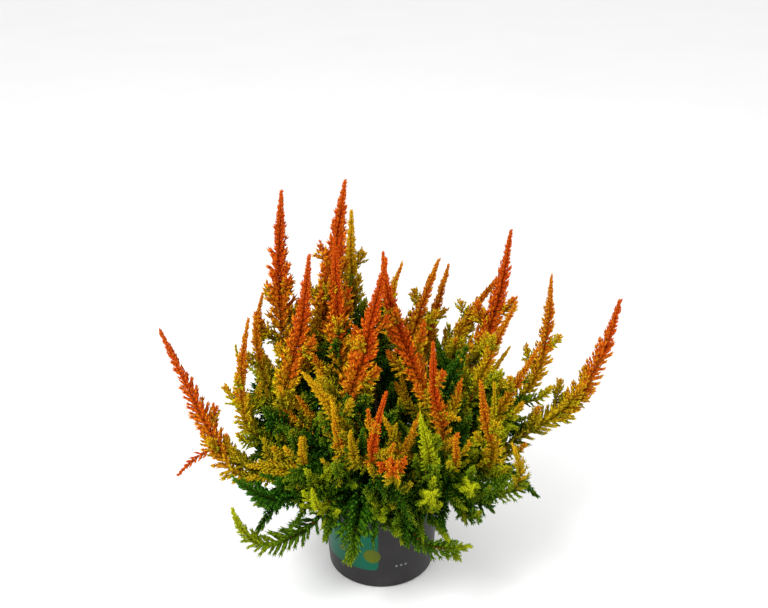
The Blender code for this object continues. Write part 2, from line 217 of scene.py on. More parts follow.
class FoliageSettings(bpy.types.PropertyGroup):
    """Sizes and colours of the leafy shoots."""

    twiglet_spacing: length_setting(
        "Twiglet spacing", "Distance between pairs of full twiglets", 2.5 * MM,
    )
    tip_spacing: length_setting("Tip spacing", "Distance between pairs of twiglets at a tip", 1.3 * MM)
    tip_reach: length_setting("Tip reach", "Half width of the foliage at a tip", 1.4 * MM)
    taper_length: length_setting(
        "Taper length", "Length over which a shoot widens from its tip", 88 * MM,
    )
    shade: colour_setting("Shade green", "Colour of shaded leaves", (0.012, 0.040, 0.003))
    green: colour_setting("Green", "Colour of green leaves", (0.040, 0.150, 0.004))
    moss: colour_setting("Moss green", "Colour between green and lime", (0.150, 0.250, 0.005))
    lime: colour_setting("Lime", "Colour of lime leaves", (0.450, 0.480, 0.006))
    citron: colour_setting("Citron", "Colour between lime and gold", (0.620, 0.450, 0.006))
    gold: colour_setting("Gold", "Colour of gold leaves", (0.640, 0.360, 0.005))
    orange: colour_setting("Orange", "Colour of orange leaves", (0.660, 0.140, 0.004))
    red: colour_setting("Red", "Colour of red leaves", (0.520, 0.044, 0.003))
    old_twig: colour_setting("Old twig", "Colour of an old green stem", (0.045, 0.040, 0.010))
    young_twig: colour_setting("Young twig", "Colour of a young red stem", (0.480, 0.030, 0.006))


class StageSettings(bpy.types.PropertyGroup):
    """The camera, the floor and the lights."""

    camera_place: FloatVectorProperty(
        name="Camera place", description="Where the camera stands", subtype="TRANSLATION",
        default=(0.0026, -0.708, 0.575),
    )
    camera_pitch: FloatProperty(
        name="Camera pitch", description="How far the camera looks down", subtype="ANGLE",
        default=math.radians(24.48),
    )
    lens: FloatProperty(name="Lens", description="Focal length in millimetres", default=44.8)
    key_power: FloatProperty(
        name="Key light", description="Power of the main light in watts", default=26.0,
    )
    fill_power: FloatProperty(
        name="Fill light", description="Power of the second light in watts", default=5.0,
    )
    sky: FloatProperty(name="Sky", description="Strength of the light all round", default=0.95)
    floor_dark: colour_setting("Floor", "Colour of the floor", (0.92, 0.92, 0.92))
    floor_light: colour_setting("Pale floor", "Colour of the floor's mottle", (0.97, 0.97, 0.97))


# What a leaf's colour passes through as it ripens, for each of the record's foliage slots. The first
# stop, shade, is painted shade: low ripeness at a shoot's foot, in the crown, darkens the leaves there.
JOURNEYS = {
    "foliage_green": ("shade", "green", "green", "moss", "lime"),
    "foliage_lime": ("shade", "green", "moss", "lime", "lime"),
    "foliage_gold": ("shade", "green", "moss", "gold", "gold"),
    "foliage_orange": ("shade", "green", "lime", "gold", "red"),
    "foliage_red": ("shade", "green", "citron", "orange", "red"),
}
JOURNEY_STOPS = ("Foot", "Low", "Middle", "High", "Tip")


class HeatherSettings(bpy.types.PropertyGroup):
    """All the sizes and colours that a user may change."""

    pot: PointerProperty(type=PotSettings)
    peat: PointerProperty(type=PeatSettings)
    wood: PointerProperty(type=WoodSettings)
    foliage: PointerProperty(type=FoliageSettings)
    stage: PointerProperty(type=StageSettings)


# Meshes and objects


def add_object(name, data):
    """Link a new object to the scene."""
    thing = bpy.data.objects.new(name, data)
    bpy.context.scene.collection.objects.link(thing)
    return thing


def add_piece(name, mesh, material, slot, *nodes):
    """Link a finished mesh as a piece that rides on the body and stands for its nodes."""
    mesh.name = name
    mesh.materials.clear()
    mesh.materials.append(material)
    piece = add_object(name, mesh)
    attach(piece, BODY)
    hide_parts(*nodes)
    return piece


def mesh_from(bm, smooth_angle=None):
    """Turn a bmesh into a mesh, smooth up to an angle if one is given."""
    mesh = bpy.data.meshes.new("mesh")
    bm.to_mesh(mesh)
    bm.free()
    if smooth_angle is not None:
        mesh.shade_smooth()
        mesh.set_sharp_from_angle(angle=smooth_angle)
    return mesh


def turned(outline, steps):
    """Spin an outline of (radius, height) points, which starts and ends on the axis."""
    bm = bmesh.new()
    corners = [bm.verts.new((radius, 0.0, height)) for radius, height in outline]
    edges = [bm.edges.new(pair) for pair in zip(corners, corners[1:])]
    bmesh.ops.spin(
        bm, geom=corners + edges, cent=(0, 0, 0), axis=(0, 0, 1),
        angle=FULL_TURN, steps=steps, use_merge=True,
    )
    bmesh.ops.remove_doubles(bm, verts=bm.verts, dist=MERGE_DISTANCE)
    bmesh.ops.recalc_face_normals(bm, faces=bm.faces)
    return bm


# Lines that shoots and stems follow

LINE_STEP = 1.0 * MM
KNOBBLE_SCALE = 330
FEWEST_STEPS = 3
HANDLE_PART = 3
Line = namedtuple("Line", "points headings sides distances")


def line_length(line):
    """Length of a line."""
    return line.distances[-1]


def knots_of(node):
    """Ring centres and radii along a CAD tube, from its foot to its tip."""
    bm = bmesh.new()
    bm.from_mesh(frame["nodes"][node].data)
    bmesh.ops.remove_doubles(bm, verts=bm.verts, dist=MERGE_DISTANCE)
    for pole in bm.verts:
        levels = levels_from(pole)
        if len(levels[-1]) == 1 and len({len(level) for level in levels[1:-1]}) == 1:
            break
    else:
        raise RuntimeError(f"{node} is not a tube with a point at each end")
    centres = [sum((vert.co for vert in level), Vector()) / len(level) for level in levels]
    radii = [
        sum((vert.co - centre).length for vert in level) / len(level)
        for level, centre in zip(levels, centres)
    ]
    bm.free()
    crown = Vector((0, 0, PEAT_HIGH.z))
    if (centres[-1] - crown).length < (centres[0] - crown).length:
        centres.reverse()
        radii.reverse()
    return centres, radii


def levels_from(pole):
    """The vertices of a mesh in levels, by how many edges lie between them and a pole."""
    levels, seen = [[pole]], {pole}
    while True:
        level = []
        for vert in levels[-1]:
            for edge in vert.link_edges:
                other = edge.other_vert(vert)
                if other not in seen:
                    seen.add(other)
                    level.append(other)
        if not level:
            return levels
        levels.append(level)


def smooth_line(knots, first_heading=None):
    """A line along a smooth curve through the knots, with handles a third as long as its stretches."""
    knots = [Vector(knot) for knot in knots]
    headings = [(first_heading or knots[1] - knots[0]).normalized()]
    for before, after in zip(knots, knots[2:]):
        headings.append((after - before).normalized())
    headings.append((2 * (knots[-1] - knots[-2]).normalized() - headings[-1]).normalized())
    curve = [knots[0]]
    for index, (start, end) in enumerate(zip(knots, knots[1:])):
        reach = (end - start).length / HANDLE_PART
        steps = max(FEWEST_STEPS, math.ceil((end - start).length / LINE_STEP) + 1)
        curve += interpolate_bezier(
            start, start + headings[index] * reach, end - headings[index + 1] * reach, end, steps,
        )[1:]
    return carried_line(np.array(curve))


def carried_line(points):
    """A line through points, with a side direction carried along it without twist."""
    steps = np.diff(points, axis=0)
    distances = np.concatenate([[0.0], np.cumsum(np.linalg.norm(steps, axis=1))])
    headings = np.gradient(points, axis=0)
    headings /= np.linalg.norm(headings, axis=1)[:, None]
    start = Vector(headings[0])
    side = start.orthogonal().normalized()
    sides = [side]
    for heading in headings[1:]:
        heading = Vector(heading)
        side = (side - heading * side.dot(heading)).normalized()
        sides.append(side)
    return Line(points, headings, np.array(sides), distances)


def frames_at(line, distances):
    """Points, headings and side directions at some distances along a line."""
    return [
        np.column_stack([np.interp(distances, line.distances, column) for column in values.T])
        for values in (line.points, line.headings, line.sides)
    ]


def unit(vector):
    """A vector at length one."""
    return vector / np.linalg.norm(vector)


def add_tube(bm, line, radius_at, sides, spacing, knobble=0.0):
    """Add a closed tube along a line to a bmesh, and give the distances at which its rings stand."""
    count = max(FEWEST_STEPS, math.ceil(line_length(line) / spacing) + 1)
    stops = np.linspace(0, line_length(line), count)
    rings = []
    for index, (point, heading, side) in enumerate(zip(*frames_at(line, stops))):
        turn = Matrix(np.column_stack([side, np.cross(heading, side), heading]).tolist()).to_4x4()
        corners = bmesh.ops.create_circle(
            bm, cap_ends=index in (0, count - 1), segments=sides, radius=radius_at(index / (count - 1)),
            matrix=Matrix.Translation(point) @ turn,
        )["verts"]
        if knobble:
            for vert in corners:
                out = vert.co - Vector(point)
                vert.co += out * knobble * noise.fractal(vert.co * KNOBBLE_SCALE, 1.0, 2.0, 2)
        rings.append(list(dict.fromkeys(edge for vert in corners for edge in vert.link_edges)))
    for lower, upper in zip(rings, rings[1:]):
        bmesh.ops.bridge_loops(bm, edges=lower + upper)
    return stops


# Bundles of triangles that share one mesh

Bundle = namedtuple("Bundle", "corners triangles ripeness reach")


def joined(bundles):
    """One bundle that holds all the triangles of several."""
    starts = np.cumsum([0] + [len(bundle.corners) for bundle in bundles[:-1]])
    return Bundle(
        np.concatenate([bundle.corners for bundle in bundles]),
        np.concatenate([bundle.triangles + start for bundle, start in zip(bundles, starts)]),
        np.concatenate([bundle.ripeness for bundle in bundles]),
        np.concatenate([bundle.reach for bundle in bundles]),
    )


def bundle_mesh(bundle):
    """A mesh of a bundle, whose map holds ripeness across and reach from the stem upward."""
    mesh = bpy.data.meshes.new("mesh")
    mesh.from_pydata(bundle.corners, [], bundle.triangles)
    layer = mesh.uv_layers.new(name=BAKE_MAP)
    order = bundle.triangles.ravel()
    spots = np.column_stack([bundle.ripeness, bundle.reach])[order]
    layer.data.foreach_set("uv", np.clip(spots, 0.0, 1.0).astype(np.float32).ravel())
    mesh.shade_smooth()
    return mesh


def triangles_of(bm):
    """The corners and the triangles of a bmesh, which is then freed."""
    bmesh.ops.triangulate(bm, faces=bm.faces)
    bm.verts.index_update()
    corners = np.array([vert.co for vert in bm.verts])
    triangles = np.array([[vert.index for vert in face.verts] for face in bm.faces])
    bm.free()
    return corners, triangles


# Twiglets

# Sizes of a leaf, in leaf lengths.
LEAF_WIDTH = 0.58
LEAF_THICKNESS = 0.42
LEAF_RADIUS = 0.6
LEAF_SET_OUT = 0.35
LEAF_LEAN = math.radians(25)
LEAF_SHRINK = 0.12
FIRST_PAIR = 0.35
LAST_LEAF_INSIDE = 0.65
TWIGLET_BEND = 0.10
CORE_SIDES = 4
CORE_SWELL = 0.28
LOWEST_RIPENESS, HIGHEST_RIPENESS = 0.03, 0.97
RIPE_SHIFT = 0.48
EVEN_RIPENESS = 0.42
STEM_REACH = 0.05
LEAF_BASE_REACH = 0.22
LEAF_TIP_REACH = 0.55
MAP_SPREAD = 0.012
Template = namedtuple("Template", "corners triangles across reach")


def make_template(pairs, leaf_length, core_radius):
    """A twiglet one unit long along Z that bends to +X, with opposite pairs of scale leaves."""
    bm = bmesh.new()
    bmesh.ops.create_cone(
        bm, cap_ends=True, segments=CORE_SIDES, radius1=core_radius, radius2=0.0,
        depth=1 - CORE_SWELL, matrix=Matrix.Translation((0, 0, (1 + CORE_SWELL) / 2)),
    )
    foot = [face for face in bm.faces if len(face.verts) == CORE_SIDES]
    bmesh.ops.poke(bm, faces=foot, offset=CORE_SWELL)
    reach = [LEAF_BASE_REACH + (1 - LEAF_BASE_REACH) * max(0.0, vert.co.z) ** 2 for vert in bm.verts]
    for pair in range(pairs):
        along = (pair + FIRST_PAIR) / pairs * (1 - leaf_length * LAST_LEAF_INSIDE)
        size = leaf_length * (1 - LEAF_SHRINK * pair / pairs)
        for side in (0, 1):
            roll = QUARTER_TURN * (pair % 2 + 0.5) + math.pi * side
            reach += add_leaf(bm, along, roll, size)
    for vert in bm.verts:
        vert.co.x += TWIGLET_BEND * vert.co.z ** 2
    bmesh.ops.recalc_face_normals(bm, faces=bm.faces)
    corners, triangles = triangles_of(bm)
    count = np.arange(len(corners))
    across = (count % 3 - 1) * MAP_SPREAD
    drop = (count % 2) * MAP_SPREAD
    return Template(corners, triangles, across, np.array(reach) - drop)


def add_leaf(bm, along, roll, size):
    """Add one pointed scale leaf, a three-sided cone, and give its vertices' reach."""
    turn = Matrix.Rotation(roll, 4, "Z") @ Matrix.Rotation(LEAF_LEAN, 4, "Y")
    shape = Matrix.Diagonal((LEAF_THICKNESS * size, LEAF_WIDTH * size, size, 1.0))
    stand = Matrix.Translation((LEAF_SET_OUT, 0, 0.5))
    before = len(bm.verts)
    bmesh.ops.create_cone(
        bm, cap_ends=True, segments=3, radius1=LEAF_RADIUS, radius2=0.0, depth=1.0,
        matrix=Matrix.Translation((0, 0, along)) @ turn @ shape @ stand,
    )
    tip_reach = LEAF_TIP_REACH + (1 - LEAF_TIP_REACH) * min(1.0, along + size)
    middle = Vector((0, 0, along))
    fresh = list(bm.verts)[before:]
    outs = [min(1.0, (vert.co - middle).length / size) for vert in fresh]
    return [LEAF_BASE_REACH + (tip_reach - LEAF_BASE_REACH) * out ** 2 for out in outs]


def place_template(template, origins, directions, bends, lengths, ripeness):
    """Copies of a template at many places, as one bundle."""
    across = np.cross(directions, bends)
    turns = np.stack([bends, across, directions], axis=2) * lengths[:, None, None]
    corners = np.einsum("nij,kj->nki", turns, template.corners) + origins[:, None, :]
    count, size = corners.shape[:2]
    triangles = template.triangles[None] + (np.arange(count) * size)[:, None, None]
    # The shift makes ripe leaves riper inside and less ripe outside, and unripe leaves less ripe inside,
    # towards the painted shade colour, and riper outside.
    shift = RIPE_SHIFT * 2 * (ripeness - EVEN_RIPENESS)
    ripe = ripeness[:, None] + shift[:, None] * (0.5 - template.reach[None])
    ripe = np.clip(ripe, LOWEST_RIPENESS, HIGHEST_RIPENESS) + template.across[None]
    reach = np.broadcast_to(template.reach, (count, size))
    return Bundle(
        corners.reshape(-1, 3), triangles.reshape(-1, 3), ripe.ravel(), reach.ravel().copy(),
    )


# Leafy shoots

# Shortest length, pairs of leaves, leaf length and core radius of each size of twiglet.
TEMPLATE_SIZES = (
    (9.5 * MM, 4, 0.28, 0.10), (6.2 * MM, 3, 0.36, 0.12), (3.8 * MM, 2, 0.47, 0.15),
    (0.0, 1, 0.62, 0.21),
)
SHORT_TAPER = 0.6
FULL_ANGLE = math.radians(50)
TIP_ANGLE = math.radians(20)
OPEN_POWER = 0.6
WIDEN_POWER = 1.05
SWELL_LENGTH = 4
LEAST_SWELL = 0.35
END_TWIGLET = 2.2
HIDDEN_SHARE = 0.42
HIDDEN_SPACING = 1.7
WIDTH_OVER_SOLID = 2.35
RIPE_POWER = 1.5
RIPE_END = 1.04
# How much twiglets differ in their turn, angle, ripeness and length.
ROLL_SPREAD, ANGLE_SPREAD, RIPE_SPREAD = 0.16, 0.09, 0.035
SHORTEST_TWIGLET, LONGEST_TWIGLET = 0.82, 1.15
# Foot radius, tip radius, sides and ring spacing of a shoot's stem and of a side shoot's.
SHOOT_STEM = (1.05 * MM, 0.45 * MM, 5, 4 * MM)
SPRAY_STEM = (0.5 * MM, 0.22 * MM, 3, 6 * MM)
SHOOT_SINK = 1.2 * MM
SHOOT_FOOT_BARE = 12 * MM
# What all twiglets of a shoot share: the settings, the sized templates and the random numbers.
Growth = namedtuple("Growth", "settings templates rng")
# A shoot's half width and taper in mm, how fast its colour falls off towards its foot, how ripe its
# tip is, and whether it carries side shoots.
Habit = namedtuple("Habit", "half_width taper ripe_power ripest branched", defaults=(1.0, True))
# What differs from the usual habit.
OWN_HABITS = {
    "shoot_left_1": {"ripe_power": 1.7},
    "shoot_left_2": {"ripe_power": 1.8, "ripest": 0.92},
    "shoot_left_5": {"half_width": 12.5, "ripe_power": 1.35},
    "shoot_right_1": {"ripe_power": 2.1, "ripest": 0.97},
    "shoot_right_2": {"half_width": 11.5, "taper": 70, "ripe_power": 1.7},
    "shoot_right_3": {"half_width": 12.5, "taper": 70, "ripe_power": 1.0},
    "shoot_middle_2": {"ripe_power": 2.4},
    "shoot_middle_5": {"ripe_power": 2.4},
    "shoot_front_1": {"half_width": 8.0, "ripe_power": 2.6},
    "shoot_front_2": {"half_width": 9.5, "taper": 10, "ripe_power": 0.5},
    "shoot_front_3": {"ripe_power": 1.9},
    "shoot_front_5": {
        "half_width": 17.0, "taper": 34, "ripe_power": 0.6, "ripest": 0.62, "branched": False,
    },
    "shoot_front_left_3": {"half_width": 12.0, "taper": 34, "ripe_power": 0.8, "ripest": 0.6},
    "shoot_front_left_4": {
        "half_width": 12.5, "taper": 50, "ripe_power": 0.8, "ripest": 0.85, "branched": False,
    },
    "shoot_front_right_1": {"half_width": 13.5, "ripe_power": 2.6, "ripest": 0.95},
    "shoot_front_right_2": {"ripe_power": 2.1},
    "shoot_front_right_3": {"half_width": 12.0, "taper": 45, "ripest": 0.9},
    "shoot_front_right_4": {"half_width": 9.0, "taper": 20, "ripe_power": 1.0},
    "shoot_front_right_5": {
        "half_width": 10.5, "taper": 25, "ripe_power": 0.5, "ripest": 0.8, "branched": False,
    },
    "shoot_front_right_6": {"half_width": 10.0, "taper": 28, "ripe_power": 0.9},
    "shoot_front_right_8": {"half_width": 10.0, "taper": 35, "ripe_power": 0.8, "ripest": 0.8},
}


def stem_bundle(line, foot_radius, tip_radius, sides, spacing, ripeness):
    """A thin closed stem along a line, tapering to its tip."""
    def radius_at(share):
        return foot_radius + (tip_radius - foot_radius) * share

    bm = bmesh.new()
    stops = add_tube(bm, line, radius_at, sides, spacing)
    bmesh.ops.recalc_face_normals(bm, faces=bm.faces)
    numbers = np.arange(len(bm.verts))
    ripe = ripeness(np.repeat(stops, sides)) + (numbers % 2) * MAP_SPREAD
    reach = STEM_REACH + (numbers % 3 - 1) * MAP_SPREAD
    return Bundle(*triangles_of(bm), ripe, reach)


def reach_along(full, taper, settings, from_tip, from_foot, bare):
    """Half width of the foliage at distances from a shoot's tip and foot."""
    widen = np.clip(from_tip / taper, 0, 1) ** WIDEN_POWER
    swell = np.clip((from_foot - bare) / (SWELL_LENGTH * settings.tip_reach), LEAST_SWELL, 1)
    return (settings.tip_reach + (full - settings.tip_reach) * widen) * swell


def twiglet_stops(line, taper, settings, bare, hidden):
    """Distances along a line at which pairs of twiglets stand, closer towards its tip.

    Twiglets stand further apart over the length that the rest of the plant hides.
    """
    stops, at, length = [], bare, line_length(line)
    while at < length - settings.tip_spacing:
        stops.append(at)
        openness = min(1.0, (length - at) / taper)
        gap = settings.tip_spacing + (settings.twiglet_spacing - settings.tip_spacing) * openness
        at += gap * (HIDDEN_SPACING if at < hidden else 1.0)
    return np.array(stops)


def front_turn(line):
    """The turn about a line's middle, from its side direction, that points to the front."""
    middle = len(line.points) // 2
    third = np.cross(line.headings[middle], line.sides[middle])
    return math.atan2(-third[1], -line.sides[middle][1])


def twiglets_along(line, full, taper, bare, ripeness, growth, hidden=0.0):
    """Opposite pairs of twiglets along a line, each pair a quarter turn from the last."""
    settings, rng = growth.settings, growth.rng
    stops = twiglet_stops(line, taper, settings, bare, hidden)
    count = len(stops)
    from_tip = line_length(line) - stops
    openness = np.clip(from_tip / taper, 0, 1) ** OPEN_POWER
    reach = reach_along(full, taper, settings, from_tip, stops, bare)
    points, headings, sideways = frames_at(line, stops)
    thirds = np.cross(headings, sideways)
    start_roll = front_turn(line) + QUARTER_TURN / 2
    bundles = []
    for opposite in (0.0, math.pi):
        roll = start_roll + np.arange(count) * QUARTER_TURN + opposite + rng.normal(0, ROLL_SPREAD, count)
        radial = sideways * np.cos(roll)[:, None] + thirds * np.sin(roll)[:, None]
        angle = TIP_ANGLE + (FULL_ANGLE - TIP_ANGLE) * openness + rng.normal(0, ANGLE_SPREAD, count)
        directions = headings * np.cos(angle)[:, None] + radial * np.sin(angle)[:, None]
        bends = headings - directions * np.sum(headings * directions, axis=1)[:, None]
        bends /= np.linalg.norm(bends, axis=1)[:, None]
        lengths = reach / np.sin(angle) * rng.uniform(SHORTEST_TWIGLET, LONGEST_TWIGLET, count)
        ripe = ripeness(stops) + rng.normal(0, RIPE_SPREAD, count)
        bundles += sized_twiglets(growth.templates, points, directions, bends, lengths, ripe)
    tip = frames_at(line, [line_length(line) - settings.tip_reach])[0]
    bundles.append(place_template(
        growth.templates[-1][1], tip, line.headings[-1:], line.sides[-1:],
        np.array([END_TWIGLET * settings.tip_reach]), np.array([ripeness(line_length(line))]),
    ))
    return bundles


def sized_twiglets(templates, points, directions, bends, lengths, ripe):
    """Twiglets made from the template that suits each one's length."""
    bundles, upper = [], math.inf
    for lower, template in templates:
        chosen = (lengths >= lower) & (lengths < upper)
        upper = lower
        if chosen.any():
            bundles.append(place_template(
                template, points[chosen], directions[chosen], bends[chosen], lengths[chosen],
                ripe[chosen],
            ))
    return bundles


# Where side shoots stand on their shoot, as shares of its length, and how long and wide they are.
SIDE_FIRST, SIDE_LAST = 0.16, 0.68
SIDE_SPACING = 13.5 * MM
SIDE_SHIFT = 0.3
SIDE_LONGEST, SIDE_SHORTEST = 50 * MM, 20 * MM
SIDE_WIDTH = 0.72
SIDE_LENGTH_SPREAD = (0.75, 1.2)
SIDE_OUTWARD = (0.85, 1.25)
# Shares of the shoot's heading, of outward and of upward in a side shoot's last heading.
SIDE_AHEAD, SIDE_OUT, SIDE_UP = 0.55, 0.45, 0.75
SIDE_TURNING = 0.75
SIDE_FOOT_BARE = 3.0 * MM
SIDE_RIPENS = (0.30, 0.58)
LEAST_RISE = -0.15
# The same for the low shoots that fill the crown and hang over the pot's rim.
LOW_FIRST, LOW_LAST = 0.04, 0.30
LOW_SHOOTS = 6
LOW_LONGEST, LOW_SHORTEST = 62 * MM, 40 * MM
LOW_WIDTH = 0.85
LOW_TURNING = 0.6
LOW_SPREAD = 0.9
LOW_AHEAD = 0.8
LOW_TIP_FALL, LOW_TIP_RISE = -0.15, 0.7
LOW_TIP_DROOP = 1.6
LOW_FOOT_RIPENESS = 0.15
LOW_RIPE_SPREAD = (0.55, 1.0)
UP = np.array([0.0, 0.0, 1.0])
GAP_TO_ROUTE = 2 * MM
# How a low shoot leaves: how far outward, its least and most lift, and how far it hangs.
LowHabit = namedtuple("LowHabit", "outward least most droop")
LOW_HABITS = (
    LowHabit(1.1, -0.2, 0.3, 0.45), LowHabit(0.0, 0.8, 1.8, 0.0), LowHabit(0.8, 0.0, 0.6, 0.15),
)
GOLDEN_TURN = math.radians(137.5)
GOLDEN_SPREAD = 0.4
# How ripe the tips of the low shoots are, for each of the record's foliage slots.
LIME_AT = {
    "foliage_green": 1.0, "foliage_lime": 0.75, "foliage_gold": 0.55, "foliage_orange": 0.48,
    "foliage_red": 0.38,
}


def shoot_ripeness(length, habit):
    """How ripe a shoot is along its length: ripest at its tip, falling towards its foot, where low
    ripeness also gives the painted shade colour in the crown.
    """
    def ripeness(at):
        share = np.clip((length - np.asarray(at)) / (RIPE_END * length), 0, 1)
        ripe = habit.ripest * (1 - share ** habit.ripe_power)
        return np.clip(ripe, LOWEST_RIPENESS, HIGHEST_RIPENESS)
    return ripeness


def bent_line(point, first, last, length, turning, droop=0.0):
    """A side shoot's line, straight on for half its length and then turning to its last heading."""
    half = length / 2
    middle = point + first * half - droop * half * UP
    end = middle + (first * (1 - turning) + last * turning) * half
    return smooth_line([point, middle, end], Vector(first))


def low_line(line, at, length, turn, habit, rng):
    """The line of a low side shoot, which spreads outward and lifts or hangs its tip."""
    point = frames_at(line, [at])[0][0]
    out = np.array([point[0], point[1], 0.0])
    out /= max(np.linalg.norm(out), MM)
    spread = np.array([math.cos(turn), math.sin(turn), 0.0])
    lift = rng.uniform(habit.least, habit.most)
    first = unit(habit.outward * out + LOW_SPREAD * spread + lift * UP)
    rise = rng.uniform(LOW_TIP_FALL, LOW_TIP_RISE) - LOW_TIP_DROOP * habit.droop
    last = unit(LOW_AHEAD * first + rise * UP)
    return bent_line(point, first, last, length, LOW_TURNING, habit.droop)


def low_shoots(line, full, slot, growth):
    """Green side shoots at a shoot's foot, which fill the crown and hang over the pot's rim."""
    rng = growth.rng
    turn = rng.uniform(0, FULL_TURN)
    bundles = []
    for index in range(LOW_SHOOTS):
        at = (LOW_FIRST + (LOW_LAST - LOW_FIRST) * rng.uniform()) * line_length(line)
        turn += GOLDEN_TURN + rng.uniform(-GOLDEN_SPREAD, GOLDEN_SPREAD)
        habit = LOW_HABITS[index % len(LOW_HABITS)]
        branch = low_line(line, at, rng.uniform(LOW_SHORTEST, LOW_LONGEST), turn, habit, rng)
        tip_ripe = LIME_AT[slot] * rng.uniform(*LOW_RIPE_SPREAD)
        bundles += spray(branch, full * LOW_WIDTH, tip_ripe * LOW_FOOT_RIPENESS, tip_ripe, growth)
    return bundles


def side_line(line, at, length, turn, rng):
    """The line of a side shoot that leaves its shoot at a distance and curves upward."""
    point, heading, side = (values[0] for values in frames_at(line, [at]))
    radial = side * math.cos(turn) + np.cross(heading, side) * math.sin(turn)
    radial[2] = max(radial[2], LEAST_RISE)
    first = unit(heading + radial * rng.uniform(*SIDE_OUTWARD))
    last = unit(SIDE_AHEAD * heading + SIDE_OUT * radial + SIDE_UP * UP)
    return bent_line(point, first, last, length, SIDE_TURNING)


def side_shoots(line, full, ripeness, growth):
    """Side shoots along the lower part of a shoot."""
    rng = growth.rng
    first, last = SIDE_FIRST * line_length(line), SIDE_LAST * line_length(line)
    count = max(2, round((last - first) / SIDE_SPACING))
    turn = rng.uniform(0, FULL_TURN)
    bundles = []
    for index in range(count):
        share = index / (count - 1)
        at = first + (last - first) * share + rng.uniform(-SIDE_SHIFT, SIDE_SHIFT) * SIDE_SPACING
        own = SIDE_LONGEST + (SIDE_SHORTEST - SIDE_LONGEST) * share
        own *= rng.uniform(*SIDE_LENGTH_SPREAD)
        turn += GOLDEN_TURN + rng.uniform(-GOLDEN_SPREAD, GOLDEN_SPREAD)
        branch = side_line(line, max(at, first), own, turn, rng)
        foot_ripe = float(ripeness(at)) / 2
        tip_ripe = min(HIGHEST_RIPENESS, foot_ripe + rng.uniform(*SIDE_RIPENS))
        bundles += spray(branch, full * SIDE_WIDTH, foot_ripe, tip_ripe, growth)
    return bundles


def spray(branch, full, foot_ripe, tip_ripe, growth):
    """A side shoot's thin stem and its twiglets."""
    length = line_length(branch)

    def ripe(at):
        return foot_ripe + (tip_ripe - foot_ripe) * np.clip(np.asarray(at) / length, 0, 1)

    twiglets = twiglets_along(branch, full, SHORT_TAPER * length, SIDE_FOOT_BARE, ripe, growth)
    return [stem_bundle(branch, *SPRAY_STEM, ripe), *twiglets]


def named_spray(line, row, growth):
    """A spray through given points, from the nearest point of its shoot."""
    route = [Vector(point) * MM for point in row.route]
    gaps = np.linalg.norm(line.points - np.array(route[0]), axis=1)
    nearest = Vector(line.points[int(np.argmin(gaps))])
    start = [nearest] if (nearest - route[0]).length > GAP_TO_ROUTE else []
    return spray(smooth_line(start + route), row.reach * MM, row.ripe_foot, row.ripe_tip, growth)


def make_shoot(node, number, settings, templates, material):
    """One leafy shoot with its side shoots, in the place of its CAD node."""
    growth = Growth(settings, templates, np.random.default_rng([SEED, number]))
    centres, radii = knots_of(node)
    first = (centres[1] - centres[0]).normalized()
    line = smooth_line([centres[0] - first * SHOOT_SINK, *centres[2:-2], centres[-1]], first)
    length = line_length(line)
    usual = Habit(max(radii) * WIDTH_OVER_SOLID / MM, settings.taper_length / MM, RIPE_POWER)
    habit = usual._replace(**OWN_HABITS.get(node, {}))
    full = habit.half_width * MM
    taper = min(habit.taper * MM, SHORT_TAPER * length)
    ripeness = shoot_ripeness(length, habit)
    bundles = [stem_bundle(line, *SHOOT_STEM, ripeness)]
    hidden = HIDDEN_SHARE * length
    bundles += twiglets_along(line, full, taper, SHOOT_FOOT_BARE, ripeness, growth, hidden)
    if habit.branched:
        bundles += side_shoots(line, full, ripeness, growth)
    bundles += low_shoots(line, full, SLOT_OF_NODE[node], growth)
    for row in NAMED_SPRAYS.get(node, ()):
        bundles += named_spray(line, row, growth)
    mesh = bundle_mesh(joined(bundles))
    return add_piece(node.replace("shoot_", "leafy_"), mesh, material, SLOT_OF_NODE[node], node)


# Shader helpers


def add_node(tree, kind, inputs=None, **options):
    """Add a shader node, set its options, and fill or link its inputs."""
    node = tree.nodes.new(kind)
    for name, value in options.items():
        setattr(node, name, value)
    for key, value in (inputs or {}).items():
        if isinstance(value, bpy.types.NodeSocket):
            tree.links.new(value, node.inputs[key])
        else:
            node.inputs[key].default_value = value
    return node


def mixed(tree, factor, first, second):
    """The colour output of a Mix node between two colours."""
    node = add_node(tree, "ShaderNodeMix", data_type="RGBA")
    for index, value in ((0, factor), (6, first), (7, second)):
        if isinstance(value, bpy.types.NodeSocket):
            tree.links.new(value, node.inputs[index])
        elif index:
            node.inputs[index].default_value = (*value[:3], 1.0)
        else:
            node.inputs[index].default_value = value
    return node.outputs[2]


def maths(tree, operation, first, second=0.0):
    """The output of a Math node."""
    inputs = {0: first, 1: second}
    return add_node(tree, "ShaderNodeMath", inputs, operation=operation).outputs[0]


def slope(tree, first, second):
    """The length of the slope over two sides that stand at right angles."""
    squares = [maths(tree, "MULTIPLY", value, value) for value in (first, second)]
    return maths(tree, "SQRT", maths(tree, "ADD", *squares))


def ranged(tree, value, low, high, to_low=0.0, to_high=1.0):
    """The output of a clamped Map Range node."""
    inputs = {"Value": value, "From Min": low, "From Max": high, "To Min": to_low, "To Max": to_high}
    return add_node(tree, "ShaderNodeMapRange", inputs).outputs["Result"]


def noise_at(tree, vector, scale, detail=3.0, roughness=0.55):
    """The value of a noise texture."""
    inputs = {"Vector": vector, "Scale": scale, "Detail": detail, "Roughness": roughness}
    return add_node(tree, "ShaderNodeTexNoise", inputs).outputs["Fac"]


def new_group(name, inputs, outputs):
    """A shader node group with named sockets, and its input and output nodes."""
    group = bpy.data.node_groups.new(name, "ShaderNodeTree")
    for label, kind in inputs:
        group.interface.new_socket(name=label, in_out="INPUT", socket_type=kind)
    for label, kind in outputs:
        group.interface.new_socket(name=label, in_out="OUTPUT", socket_type=kind)
    return group, group.nodes.new("NodeGroupInput"), group.nodes.new("NodeGroupOutput")


